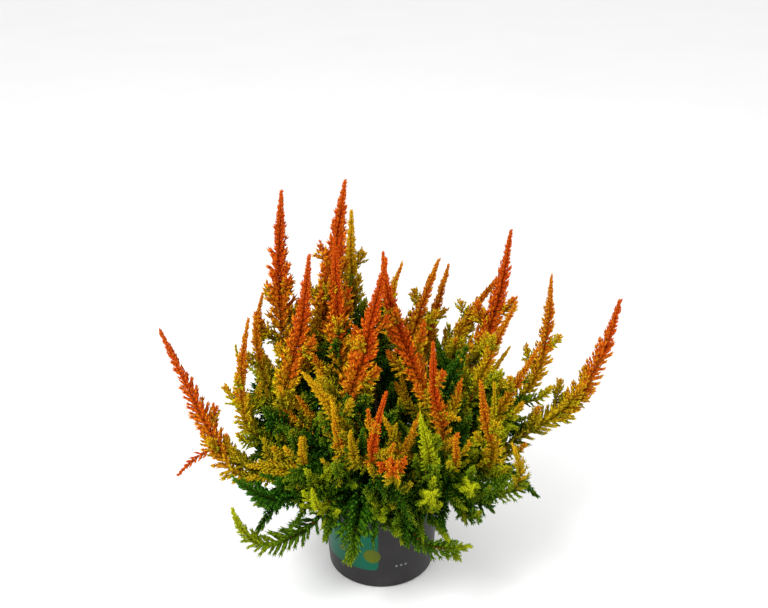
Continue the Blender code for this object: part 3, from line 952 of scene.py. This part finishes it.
def new_material(name):
    """A material with nodes, its tree and its Principled shader."""
    material = bpy.data.materials.new(name)
    material.use_nodes = True
    tree = material.node_tree
    return material, tree, tree.nodes["Principled BSDF"]


def object_place(tree):
    """The Object coordinates of the surface."""
    return add_node(tree, "ShaderNodeTexCoord").outputs["Object"]


def grain_at(tree, place, coarse, fine):
    """The mask and the height of the Grain group at a place."""
    inputs = {"Vector": place, "Coarse": coarse, "Fine": fine}
    grain = add_node(tree, "ShaderNodeGroup", inputs, node_tree=bpy.data.node_groups["Grain"])
    return grain.outputs["Mask"], grain.outputs["Height"]


def dress(tree, shader, colour, roughness, height, strength, distance):
    """Link a shader's colour and roughness, and give it a bump from a height."""
    bump = add_node(
        tree, "ShaderNodeBump", {"Height": height, "Strength": strength, "Distance": distance},
    )
    tree.links.new(colour, shader.inputs["Base Color"])
    tree.links.new(roughness, shader.inputs["Roughness"])
    tree.links.new(bump.outputs["Normal"], shader.inputs["Normal"])


COLOUR, NUMBER, VECTOR = "NodeSocketColor", "NodeSocketFloat", "NodeSocketVector"


# Painted light on a leaf: how light its painted shade leaves it inside the foliage when unripe and ripe,
# and how light its painted highlight makes it at its outside.
UNRIPE, RIPE = 0.35, 0.9
UNRIPE_INNER_PAINTED_SHADE, RIPE_INNER_PAINTED_SHADE = 0.26, 0.72
OUTER_PAINTED_HIGHLIGHT = 1.20
OUTER_REACH = 0.85
TWIG_REACH = (0.09, 0.12)
LEAF_GRAIN = 42.0
GRAIN_LOW, GRAIN_HIGH = 0.3, 0.7
# A leaf's light and roughness where its grain is low and where it is high.
LEAF_MOTTLE = (0.82, 1.18)
LEAF_ROUGHNESS = (0.62, 0.46)
LEAF_GLOSS = 0.05


def leaf_group():
    """Colour, roughness and height of foliage from a map of ripeness and reach, with painted shade inside
    the foliage and a painted highlight at its outside.
    """
    group, start, end = new_group(
        "Heather leaf",
        [("Map", VECTOR), *((stop, COLOUR) for stop in JOURNEY_STOPS),
         ("Old Twig", COLOUR), ("Young Twig", COLOUR), ("Inner Shade", NUMBER), ("Painted Outer Highlight", NUMBER)],
        [("Color", COLOUR), ("Roughness", NUMBER), ("Height", NUMBER)],
    )
    parts = add_node(group, "ShaderNodeSeparateXYZ", {0: start.outputs["Map"]})
    ripe, reach = parts.outputs[0], parts.outputs[1]
    colour = start.outputs[JOURNEY_STOPS[0]]
    steps = len(JOURNEY_STOPS) - 1
    for index, stop in enumerate(JOURNEY_STOPS[1:]):
        share = ranged(group, ripe, index / steps, (index + 1) / steps)
        colour = mixed(group, share, colour, start.outputs[stop])
    grain = noise_at(group, start.outputs["Map"], LEAF_GRAIN, 2.0)
    # Painted light: leaves darken towards the stem as painted shade, less so when ripe, and lighten
    # towards their tips as a painted highlight.
    painted_highlight_share = ranged(group, reach, LEAF_BASE_REACH, OUTER_REACH)
    inner = ranged(group, ripe, UNRIPE, RIPE, start.outputs["Inner Shade"], RIPE_INNER_PAINTED_SHADE)
    light = ranged(group, painted_highlight_share, 0.0, 1.0, inner, start.outputs["Painted Outer Highlight"])
    mottle = ranged(group, grain, GRAIN_LOW, GRAIN_HIGH, *LEAF_MOTTLE)
    light = maths(group, "MULTIPLY", light, mottle)
    leaf = add_node(group, "ShaderNodeVectorMath", {0: colour, 3: light}, operation="SCALE").outputs[0]
    twig = mixed(group, ripe, start.outputs["Old Twig"], start.outputs["Young Twig"])
    is_leaf = ranged(group, reach, *TWIG_REACH)
    roughness = ranged(group, grain, GRAIN_LOW, GRAIN_HIGH, *LEAF_ROUGHNESS)
    group.links.new(mixed(group, is_leaf, twig, leaf), end.inputs["Color"])
    group.links.new(roughness, end.inputs["Roughness"])
    group.links.new(grain, end.inputs["Height"])
    return group


def foliage_material(slot, group, settings):
    """Foliage that ripens through its slot's colours."""
    material, tree, shader = new_material(slot)
    place = add_node(tree, "ShaderNodeUVMap", uv_map=BAKE_MAP).outputs["UV"]
    # The painted shade inside the foliage and the painted highlight at its outside.
    inputs = {"Map": place, "Inner Shade": UNRIPE_INNER_PAINTED_SHADE, "Painted Outer Highlight": OUTER_PAINTED_HIGHLIGHT}
    stops = [*zip(JOURNEY_STOPS, JOURNEYS[slot]), ("Old Twig", "old_twig"), ("Young Twig", "young_twig")]
    inputs.update((stop, (*getattr(settings, name), 1.0)) for stop, name in stops)
    leaf = add_node(tree, "ShaderNodeGroup", inputs, node_tree=group).outputs
    shader.inputs["Specular IOR Level"].default_value = LEAF_GLOSS
    dress(
        tree, shader, leaf["Color"], leaf["Roughness"], leaf["Height"],
        strength=0.2, distance=0.2 * MM,
    )
    return material


# Shares of the coarse and the fine noise in the grain, and the range that its mask spreads out.
COARSE_NOISE, FINE_NOISE = 0.6, 0.4
MASK_LOW, MASK_HIGH = 0.38, 0.62


def grain_group():
    """A mottled mask and a fine height that several matt surfaces share."""
    group, start, end = new_group(
        "Grain",
        [("Vector", VECTOR), ("Coarse", NUMBER), ("Fine", NUMBER)],
        [("Mask", NUMBER), ("Height", NUMBER)],
    )
    coarse = noise_at(group, start.outputs["Vector"], start.outputs["Coarse"], 4.0)
    fine = noise_at(group, start.outputs["Vector"], start.outputs["Fine"], 6.0, 0.65)
    coarse_part = maths(group, "MULTIPLY", coarse, COARSE_NOISE)
    both = maths(group, "ADD", coarse_part, maths(group, "MULTIPLY", fine, FINE_NOISE))
    group.links.new(ranged(group, both, MASK_LOW, MASK_HIGH), end.inputs["Mask"])
    group.links.new(fine, end.inputs["Height"])
    return group


PRINT_RADIUS = 50 * MM
PRINT_EDGE = 0.15 * MM


def print_group():
    """A mask for a rounded patch printed on the outside of the pot's wall."""
    group, start, end = new_group(
        "Printed patch",
        [("Vector", VECTOR), ("Turn", NUMBER), ("Height", NUMBER), ("Half Width", NUMBER),
         ("Half Height", NUMBER), ("Rounding", NUMBER), ("Wall Radius", NUMBER)],
        [("Mask", NUMBER)],
    )
    parts = add_node(group, "ShaderNodeSeparateXYZ", {0: start.outputs["Vector"]})
    x, y, z = parts.outputs
    angle = maths(group, "ARCTAN2", x, maths(group, "MULTIPLY", y, -1.0))
    arc = maths(group, "MULTIPLY", maths(group, "SUBTRACT", angle, start.outputs["Turn"]), PRINT_RADIUS)
    rise = maths(group, "SUBTRACT", z, start.outputs["Height"])
    rounding = start.outputs["Rounding"]
    past = []
    for value, half in ((arc, "Half Width"), (rise, "Half Height")):
        inner = maths(group, "SUBTRACT", start.outputs[half], rounding)
        over = maths(group, "SUBTRACT", maths(group, "ABSOLUTE", value), inner)
        past.append(maths(group, "MAXIMUM", over, 0.0))
    depth = maths(group, "SUBTRACT", rounding, slope(group, *past))
    inside = ranged(group, depth, -PRINT_EDGE, PRINT_EDGE)
    radius = slope(group, x, y)
    outside = maths(group, "GREATER_THAN", radius, start.outputs["Wall Radius"])
    group.links.new(maths(group, "MULTIPLY", inside, outside), end.inputs["Mask"])
    return group


# The pot

POT_STEPS = 144
FLOOR = 1.5 * MM
EDGE_BEVEL = 0.4 * MM
SHARP_RING = math.radians(14)
POT_SHARP = math.radians(30)
DRAIN_HOLES = 6
DRAIN_RADIUS = 3.5 * MM
DRAIN_CIRCLE = 30 * MM
SCUFF_SCALE = (260.0, 260.0, 18.0)
SCUFF_LOW, SCUFF_HIGH = 0.62, 0.74
DUST_HEIGHT = 18 * MM
DUST_AT_FOOT = 0.55
# How strongly the mottle, the scuffs and the dust change the plastic's colour.
MOTTLE_SHARE, SCUFF_SHARE, DUST_SHARE = 0.3, 0.08, 0.14
PLASTIC_ROUGHNESS = (0.34, 0.46)
WORN_ROUGHER, PRINT_SMOOTHER = 0.5, 0.06
POT_GLOSS = 0.08
# Each printed mark: colour name, turn in degrees, height, half width, half height and rounding in mm.
PRINT = (
    ("panel", -36, 42, 29, 22, 5),
    ("motif", -9, 36, 7.5, 7.5, 7.5),
    ("motif", -30, 36, 4.5, 4.5, 4.5),
    ("motif", -43, 36, 3.0, 3.0, 3.0),
    ("dots", 16, 24, 1.1, 1.1, 1.1),
    ("dots", 21, 24, 1.1, 1.1, 1.1),
    ("dots", 26, 24, 1.1, 1.1, 1.1),
)


def pot_outline(pot):
    """The pot's outline of radius and height, from the floor's underside round to its top."""
    foot = pot.height - pot.collar_height
    neck = pot.rim_radius - pot.collar_step
    edge = pot.wall / 2

    def outer(height):
        return pot.base_radius + (neck - pot.base_radius) * height / foot

    return (
        (0, 0),
        (outer(0) - FLOOR, 0),
        (outer(FLOOR), FLOOR),
        (outer(foot), foot),
        (pot.rim_radius - edge / 2, foot + edge),
        (pot.rim_radius, pot.height - edge),
        (pot.rim_radius - edge, pot.height),
        (pot.rim_radius - pot.wall, pot.height - edge),
        (pot.rim_radius - edge / 2 - pot.wall, foot + pot.wall),
        (outer(foot) - pot.wall, foot),
        (outer(2 * FLOOR) - pot.wall, 2 * FLOOR),
        (outer(0) - FLOOR - pot.wall, FLOOR),
        (0, FLOOR),
    )


def round_rings(bm, offset):
    """Bevel the rings where a turned shape bends sharply."""
    sharp = [
        edge for edge in bm.edges
        if len(edge.link_faces) == 2 and edge.calc_face_angle(0) > SHARP_RING
        and abs(edge.verts[0].co.z - edge.verts[1].co.z) < MERGE_DISTANCE
    ]
    bmesh.ops.bevel(
        bm, geom=sharp, offset=offset, offset_type="OFFSET", segments=3, profile=0.5,
        affect="EDGES", material=-1, clamp_overlap=True,
    )


def drill_holes(mesh):
    """The mesh with drain holes cut through its floor."""
    bm = bmesh.new()
    for hole in range(DRAIN_HOLES):
        turn = Matrix.Rotation(FULL_TURN * hole / DRAIN_HOLES, 4, "Z")
        bmesh.ops.create_cone(
            bm, cap_ends=True, segments=32, radius1=DRAIN_RADIUS, radius2=DRAIN_RADIUS,
            depth=3 * FLOOR, matrix=turn @ Matrix.Translation((DRAIN_CIRCLE, 0, FLOOR / 2)),
        )
    blank = add_object("blank", mesh)
    drill = add_object("drill", mesh_from(bm))
    cut = blank.modifiers.new("holes", "BOOLEAN")
    cut.operation = "DIFFERENCE"
    cut.object = drill
    graph = bpy.context.evaluated_depsgraph_get()
    drilled = bpy.data.meshes.new_from_object(blank.evaluated_get(graph))
    for thing in (blank, drill):
        bpy.data.objects.remove(thing)
    return drilled


def pot_material(pot):
    """Dark satin plastic with a soft bloom of dust, fine scuffs and the printed panel."""
    material, tree, shader = new_material("pot_plastic")
    place = object_place(tree)
    mask, fine = grain_at(tree, place, coarse=38.0, fine=900.0)
    mottle = maths(tree, "MULTIPLY", mask, MOTTLE_SHARE)
    colour = mixed(tree, mottle, pot.plastic, pot.bloom)
    printed = 0.0
    for name, turn, height, half_width, half_height, rounding in PRINT:
        inputs = {
            "Vector": place, "Turn": math.radians(turn), "Height": height * MM,
            "Half Width": half_width * MM, "Half Height": half_height * MM,
            "Rounding": rounding * MM, "Wall Radius": pot.base_radius - pot.wall / 2,
        }
        patch = add_node(
            tree, "ShaderNodeGroup", inputs, node_tree=bpy.data.node_groups["Printed patch"],
        ).outputs["Mask"]
        colour = mixed(tree, patch, colour, mixed(tree, mottle, getattr(pot, name), pot.plastic))
        printed = maths(tree, "MAXIMUM", printed, patch)
    stretched = add_node(tree, "ShaderNodeMapping", {"Vector": place, "Scale": SCUFF_SCALE}).outputs[0]
    scuff = ranged(tree, noise_at(tree, stretched, 1.0, 5.0), SCUFF_LOW, SCUFF_HIGH)
    rise = add_node(tree, "ShaderNodeSeparateXYZ", {0: place}).outputs[2]
    dust = maths(tree, "MULTIPLY", ranged(tree, rise, 0.0, DUST_HEIGHT, DUST_AT_FOOT, 0.0), mask)
    scuff = maths(tree, "MULTIPLY", scuff, SCUFF_SHARE)
    worn = maths(tree, "MAXIMUM", scuff, maths(tree, "MULTIPLY", dust, DUST_SHARE))
    rough = ranged(tree, mask, 0, 1, *PLASTIC_ROUGHNESS)
    rough = maths(tree, "ADD", rough, maths(tree, "MULTIPLY", worn, WORN_ROUGHER))
    rough = maths(tree, "SUBTRACT", rough, maths(tree, "MULTIPLY", printed, PRINT_SMOOTHER))
    shader.inputs["Specular IOR Level"].default_value = POT_GLOSS
    colour = mixed(tree, worn, colour, pot.dust)
    dress(tree, shader, colour, rough, fine, strength=0.25, distance=0.1 * MM)
    return material


class HEATHER_OT_pot(bpy.types.Operator):
    """Model the turned plastic pot with its collar, drain holes and print"""

    bl_idname = "heather.pot"
    bl_label = "Pot"

    def execute(self, context):
        pot = context.scene.heather.pot
        bm = turned(pot_outline(pot), POT_STEPS)
        round_rings(bm, EDGE_BEVEL)
        mesh = drill_holes(mesh_from(bm))
        mesh.shade_smooth()
        mesh.set_sharp_from_angle(angle=POT_SHARP)
        add_piece("pot_shell", mesh, pot_material(pot), SLOT_OF_NODE["pot"], "pot")
        return {"FINISHED"}


# The peat

PEAT_RINGS = 40
PEAT_STEPS = 120
PEAT_EDGE_HEIGHT = 81 * MM
PEAT_GAP = 1.5 * MM
PEAT_CALM_EDGE = 12
PEAT_SINK = 0.4 * MM
CRUMB_SINK = 0.2 * MM
SMALLEST_CRUMB, LARGEST_CRUMB = 0.4, 1.5
CRUMB_SHAPE = (0.6, 1.2)
# Scale and share of the coarse and the fine lumps.
COARSE_LUMPS, COARSE_SHARE = 130, 0.8
FINE_LUMPS, FINE_SHARE = 620, 0.35


def peat_height(radius, edge_radius):
    """Height of the peat's domed top at a distance from the pot's axis."""
    return PEAT_HIGH.z - (PEAT_HIGH.z - PEAT_EDGE_HEIGHT) * (radius / edge_radius) ** 2


def peat_lump(place, height):
    """How far the peat's surface is raised or sunk at a place."""
    coarse = noise.fractal(Vector(place) * COARSE_LUMPS, 1.0, 2.0, 3)
    fine = noise.noise(Vector(place) * FINE_LUMPS)
    return height * (COARSE_SHARE * coarse + FINE_SHARE * fine)


def add_crumb(bm, place, size, rng):
    """Add one rough crumb of peat."""
    turn = Euler(rng.uniform(0, FULL_TURN, 3)).to_matrix().to_4x4()
    shape = Matrix.Diagonal((*(size * rng.uniform(*CRUMB_SHAPE, 3)), 1.0))
    bmesh.ops.create_icosphere(
        bm, subdivisions=1, radius=1.0, matrix=Matrix.Translation(place) @ turn @ shape,
    )


def peat_material(peat):
    """Damp dark peat with dry fibres."""
    material, tree, shader = new_material("peat")
    mask, fine = grain_at(tree, object_place(tree), coarse=260.0, fine=1500.0)
    colour = mixed(tree, mask, peat.dark, peat.light)
    roughness = ranged(tree, mask, 0, 1, to_low=0.75, to_high=0.98)
    dress(tree, shader, colour, roughness, fine, strength=0.8, distance=0.5 * MM)
    return material


class HEATHER_OT_peat(bpy.types.Operator):
    """Model the lumpy peat that fills the pot, with its loose crumbs"""

    bl_idname = "heather.peat"
    bl_label = "Peat"

    def execute(self, context):
        peat = context.scene.heather.peat
        edge = PEAT_HIGH.x
        foot = context.scene.heather.pot.base_radius - PEAT_GAP - FLOOR
        top = [(radius, peat_height(radius, edge)) for radius in np.linspace(edge, 0, PEAT_RINGS)]
        bm = turned([(0, PEAT_LOW.z), (foot, PEAT_LOW.z), *top], PEAT_STEPS)
        for vert in bm.verts:
            inside = 1 - (math.hypot(vert.co.x, vert.co.y) / edge) ** PEAT_CALM_EDGE
            if vert.co.z > PEAT_EDGE_HEIGHT - MM:
                vert.co.z += peat_lump(vert.co, peat.lump_height) * max(0.0, inside) - PEAT_SINK
        rng = np.random.default_rng([SEED, len(SHOOT_NODES)])
        for _ in range(peat.crumbs):
            radius, turn = (edge - 2 * MM) * math.sqrt(rng.uniform()), rng.uniform(0, FULL_TURN)
            place = Vector((radius * math.cos(turn), radius * math.sin(turn), 0))
            place.z = peat_height(radius, edge) - CRUMB_SINK
            add_crumb(bm, place, rng.uniform(SMALLEST_CRUMB, LARGEST_CRUMB) * MM, rng)
        mesh = mesh_from(bm)
        add_piece("peat_top", mesh, peat_material(peat), SLOT_OF_NODE["root_ball"], "root_ball")
        return {"FINISHED"}


# The woody stems

WOOD_SEED = 1000
WOOD_SIDES, TWIG_SIDES = 10, 5
WOOD_SPACING, TWIG_SPACING = 2.5 * MM, 3 * MM
WOOD_WIDTH = 0.96
WOOD_KNOBBLE = 0.45
WOOD_FLARE = 0.35
FLARED_SHARE = 0.18
BLUNT_END = 0.6
TWIG_FIRST, TWIG_LAST = 0.25, 0.95
TWIG_SHORTEST, TWIG_LONGEST = 9, 24
TWIG_FOOT_RADIUS, TWIG_NARROWING = 0.62, 0.4
WOOD_SHARP = math.radians(60)
FURROW_STRETCH = (1.0, 1.0, 0.22)


def bark_material(wood):
    """Furrowed brown bark, with furrows that run up the stem."""
    material, tree, shader = new_material("bark")
    inputs = {"Vector": object_place(tree), "Scale": FURROW_STRETCH}
    along = add_node(tree, "ShaderNodeMapping", inputs).outputs[0]
    mask, _ = grain_at(tree, along, coarse=420.0, fine=1700.0)
    colour = mixed(tree, mask, wood.dark, wood.light)
    roughness = ranged(tree, mask, 0, 1, to_low=0.9, to_high=0.7)
    dress(tree, shader, colour, roughness, mask, strength=0.7, distance=0.4 * MM)
    return material


def twig_radius(share):
    """Radius of a dead twig at a share of its length."""
    return (TWIG_FOOT_RADIUS - TWIG_NARROWING * share) * MM


def make_woody_stem(node, number, wood, material):
    """One woody stem with its dead twigs, in the place of its CAD node."""
    rng = np.random.default_rng([SEED, WOOD_SEED + number])
    centres, radii = knots_of(node)
    foot, top = radii[1], radii[-2]
    first = (centres[2] - centres[1]).normalized()
    line = smooth_line([centres[1] - first * wood.sink, *centres[1:]], first)

    def radius_at(share):
        flare = 1 + WOOD_FLARE * max(0.0, 1 - share / FLARED_SHARE) ** 2
        blunt = BLUNT_END if share == 1 else 1.0
        return (foot + (top - foot) * share) * flare * WOOD_WIDTH * blunt

    bm = bmesh.new()
    add_tube(bm, line, radius_at, WOOD_SIDES, WOOD_SPACING, WOOD_KNOBBLE)
    for twig in range(wood.dead_twigs):
        share = (twig + rng.uniform()) / wood.dead_twigs
        at = line_length(line) * (TWIG_FIRST + (TWIG_LAST - TWIG_FIRST) * share)
        length = rng.uniform(TWIG_SHORTEST, TWIG_LONGEST) * MM
        branch = side_line(line, at, length, rng.uniform(0, FULL_TURN), rng)
        add_tube(bm, branch, twig_radius, TWIG_SIDES, TWIG_SPACING, WOOD_KNOBBLE)
    bmesh.ops.recalc_face_normals(bm, faces=bm.faces)
    mesh = mesh_from(bm, WOOD_SHARP)
    return add_piece(node.replace("woody_stem_", "bare_stem_"), mesh, material, SLOT_OF_NODE[node], node)


class HEATHER_OT_woody_stems(bpy.types.Operator):
    """Model the bare woody stems with their bark and dead twigs"""

    bl_idname = "heather.woody_stems"
    bl_label = "Woody stems"

    def execute(self, context):
        wood = context.scene.heather.wood
        material = bark_material(wood)
        for number, node in enumerate(STEM_NODES):
            make_woody_stem(node, number, wood, material)
        return {"FINISHED"}


class HEATHER_OT_leafy_shoots(bpy.types.Operator):
    """Clothe every shoot with side shoots, twiglets and scale leaves"""

    bl_idname = "heather.leafy_shoots"
    bl_label = "Leafy shoots"

    def execute(self, context):
        settings = context.scene.heather.foliage
        group = leaf_group()
        materials = {slot: foliage_material(slot, group, settings) for slot in JOURNEYS}
        templates = [(lower, make_template(*shape)) for lower, *shape in TEMPLATE_SIZES]
        for number, node in enumerate(SHOOT_NODES):
            make_shoot(node, number, settings, templates, materials[SLOT_OF_NODE[node]])
        return {"FINISHED"}


# The stage

FLOOR_RADIUS = 9.0
SENSOR_WIDTH = 36.0
KEY_PLACE, KEY_SIZE = (-0.8, -0.9, 1.5), 0.7
FILL_PLACE, FILL_SIZE = (1.1, -0.3, 0.9), 1.0


def floor_material(stage):
    """A pale matt floor with a hardly visible mottle."""
    material, tree, shader = new_material("pale_floor")
    mottle = noise_at(tree, object_place(tree), 3.0)
    colour = mixed(tree, mottle, stage.floor_dark, stage.floor_light)
    tree.links.new(colour, shader.inputs["Base Color"])
    shader.inputs["Roughness"].default_value = 0.9
    return material


def add_light(name, place, size, power):
    """A square soft light that points at the plant's middle."""
    data = bpy.data.lights.new(name, "AREA")
    data.size = size
    data.energy = power
    light = add_object(name, data)
    light.location = place
    middle = Vector((0, 0, CAD_BOX[1].z / 2))
    light.rotation_euler = (middle - Vector(place)).to_track_quat("-Z", "Y").to_euler()
    return light


class HEATHER_OT_stage(bpy.types.Operator):
    """Set up the camera, the pale floor and the soft lights"""

    bl_idname = "heather.stage"
    bl_label = "Stage"

    def execute(self, context):
        stage = context.scene.heather.stage
        bm = bmesh.new()
        bmesh.ops.create_circle(bm, cap_ends=True, segments=96, radius=FLOOR_RADIUS)
        floor = add_object("floor", mesh_from(bm))
        floor.data.materials.append(floor_material(stage))
        data = bpy.data.cameras.new("camera")
        data.lens = stage.lens
        data.sensor_width = SENSOR_WIDTH
        camera = add_object("camera", data)
        camera.location = stage.camera_place
        camera.rotation_euler = (QUARTER_TURN - stage.camera_pitch, 0, 0)
        context.scene.camera = camera
        add_light("key_light", KEY_PLACE, KEY_SIZE, stage.key_power)
        add_light("fill_light", FILL_PLACE, FILL_SIZE, stage.fill_power)
        world = bpy.data.worlds.new("studio")
        world.use_nodes = True
        sky = world.node_tree.nodes["Background"]
        sky.inputs["Color"].default_value = (1.0, 1.0, 1.0, 1.0)
        sky.inputs["Strength"].default_value = stage.sky
        context.scene.world = world
        context.scene.view_settings.view_transform = "Standard"
        return {"FINISHED"}


class HEATHER_PT_panel(bpy.types.Panel):
    """Buttons and settings for the potted heather"""

    bl_idname = "HEATHER_PT_panel"
    bl_label = "Potted heather"
    bl_space_type = "VIEW_3D"
    bl_region_type = "UI"
    bl_category = "Heather"

    def draw(self, context):
        settings = context.scene.heather
        for step, group in STEPS:
            box = self.layout.box()
            box.operator(step.bl_idname)
            values = getattr(settings, group)
            for name in values.bl_rna.properties.keys():
                if name not in ("rna_type", "name"):
                    box.prop(values, name)


STEPS = (
    (HEATHER_OT_stage, "stage"),
    (HEATHER_OT_pot, "pot"),
    (HEATHER_OT_peat, "peat"),
    (HEATHER_OT_woody_stems, "wood"),
    (HEATHER_OT_leafy_shoots, "foliage"),
)
CLASSES = (
    PotSettings, PeatSettings, WoodSettings, FoliageSettings, StageSettings, HeatherSettings,
    *(step for step, _ in STEPS), HEATHER_PT_panel,
)


def register():
    """Register the classes and the scene's settings."""
    for item in CLASSES:
        bpy.utils.register_class(item)
    bpy.types.Scene.heather = PointerProperty(type=HeatherSettings)


def unregister():
    """Take the scene's settings and the classes away again."""
    del bpy.types.Scene.heather
    for item in reversed(CLASSES):
        bpy.utils.unregister_class(item)


def main():
    """Register the add-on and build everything."""
    register()
    grain_group()
    print_group()
    bpy.ops.heather.stage()
    bpy.ops.heather.pot()
    bpy.ops.heather.peat()
    bpy.ops.heather.woody_stems()
    bpy.ops.heather.leafy_shoots()


if __name__ == "__main__":
    main()
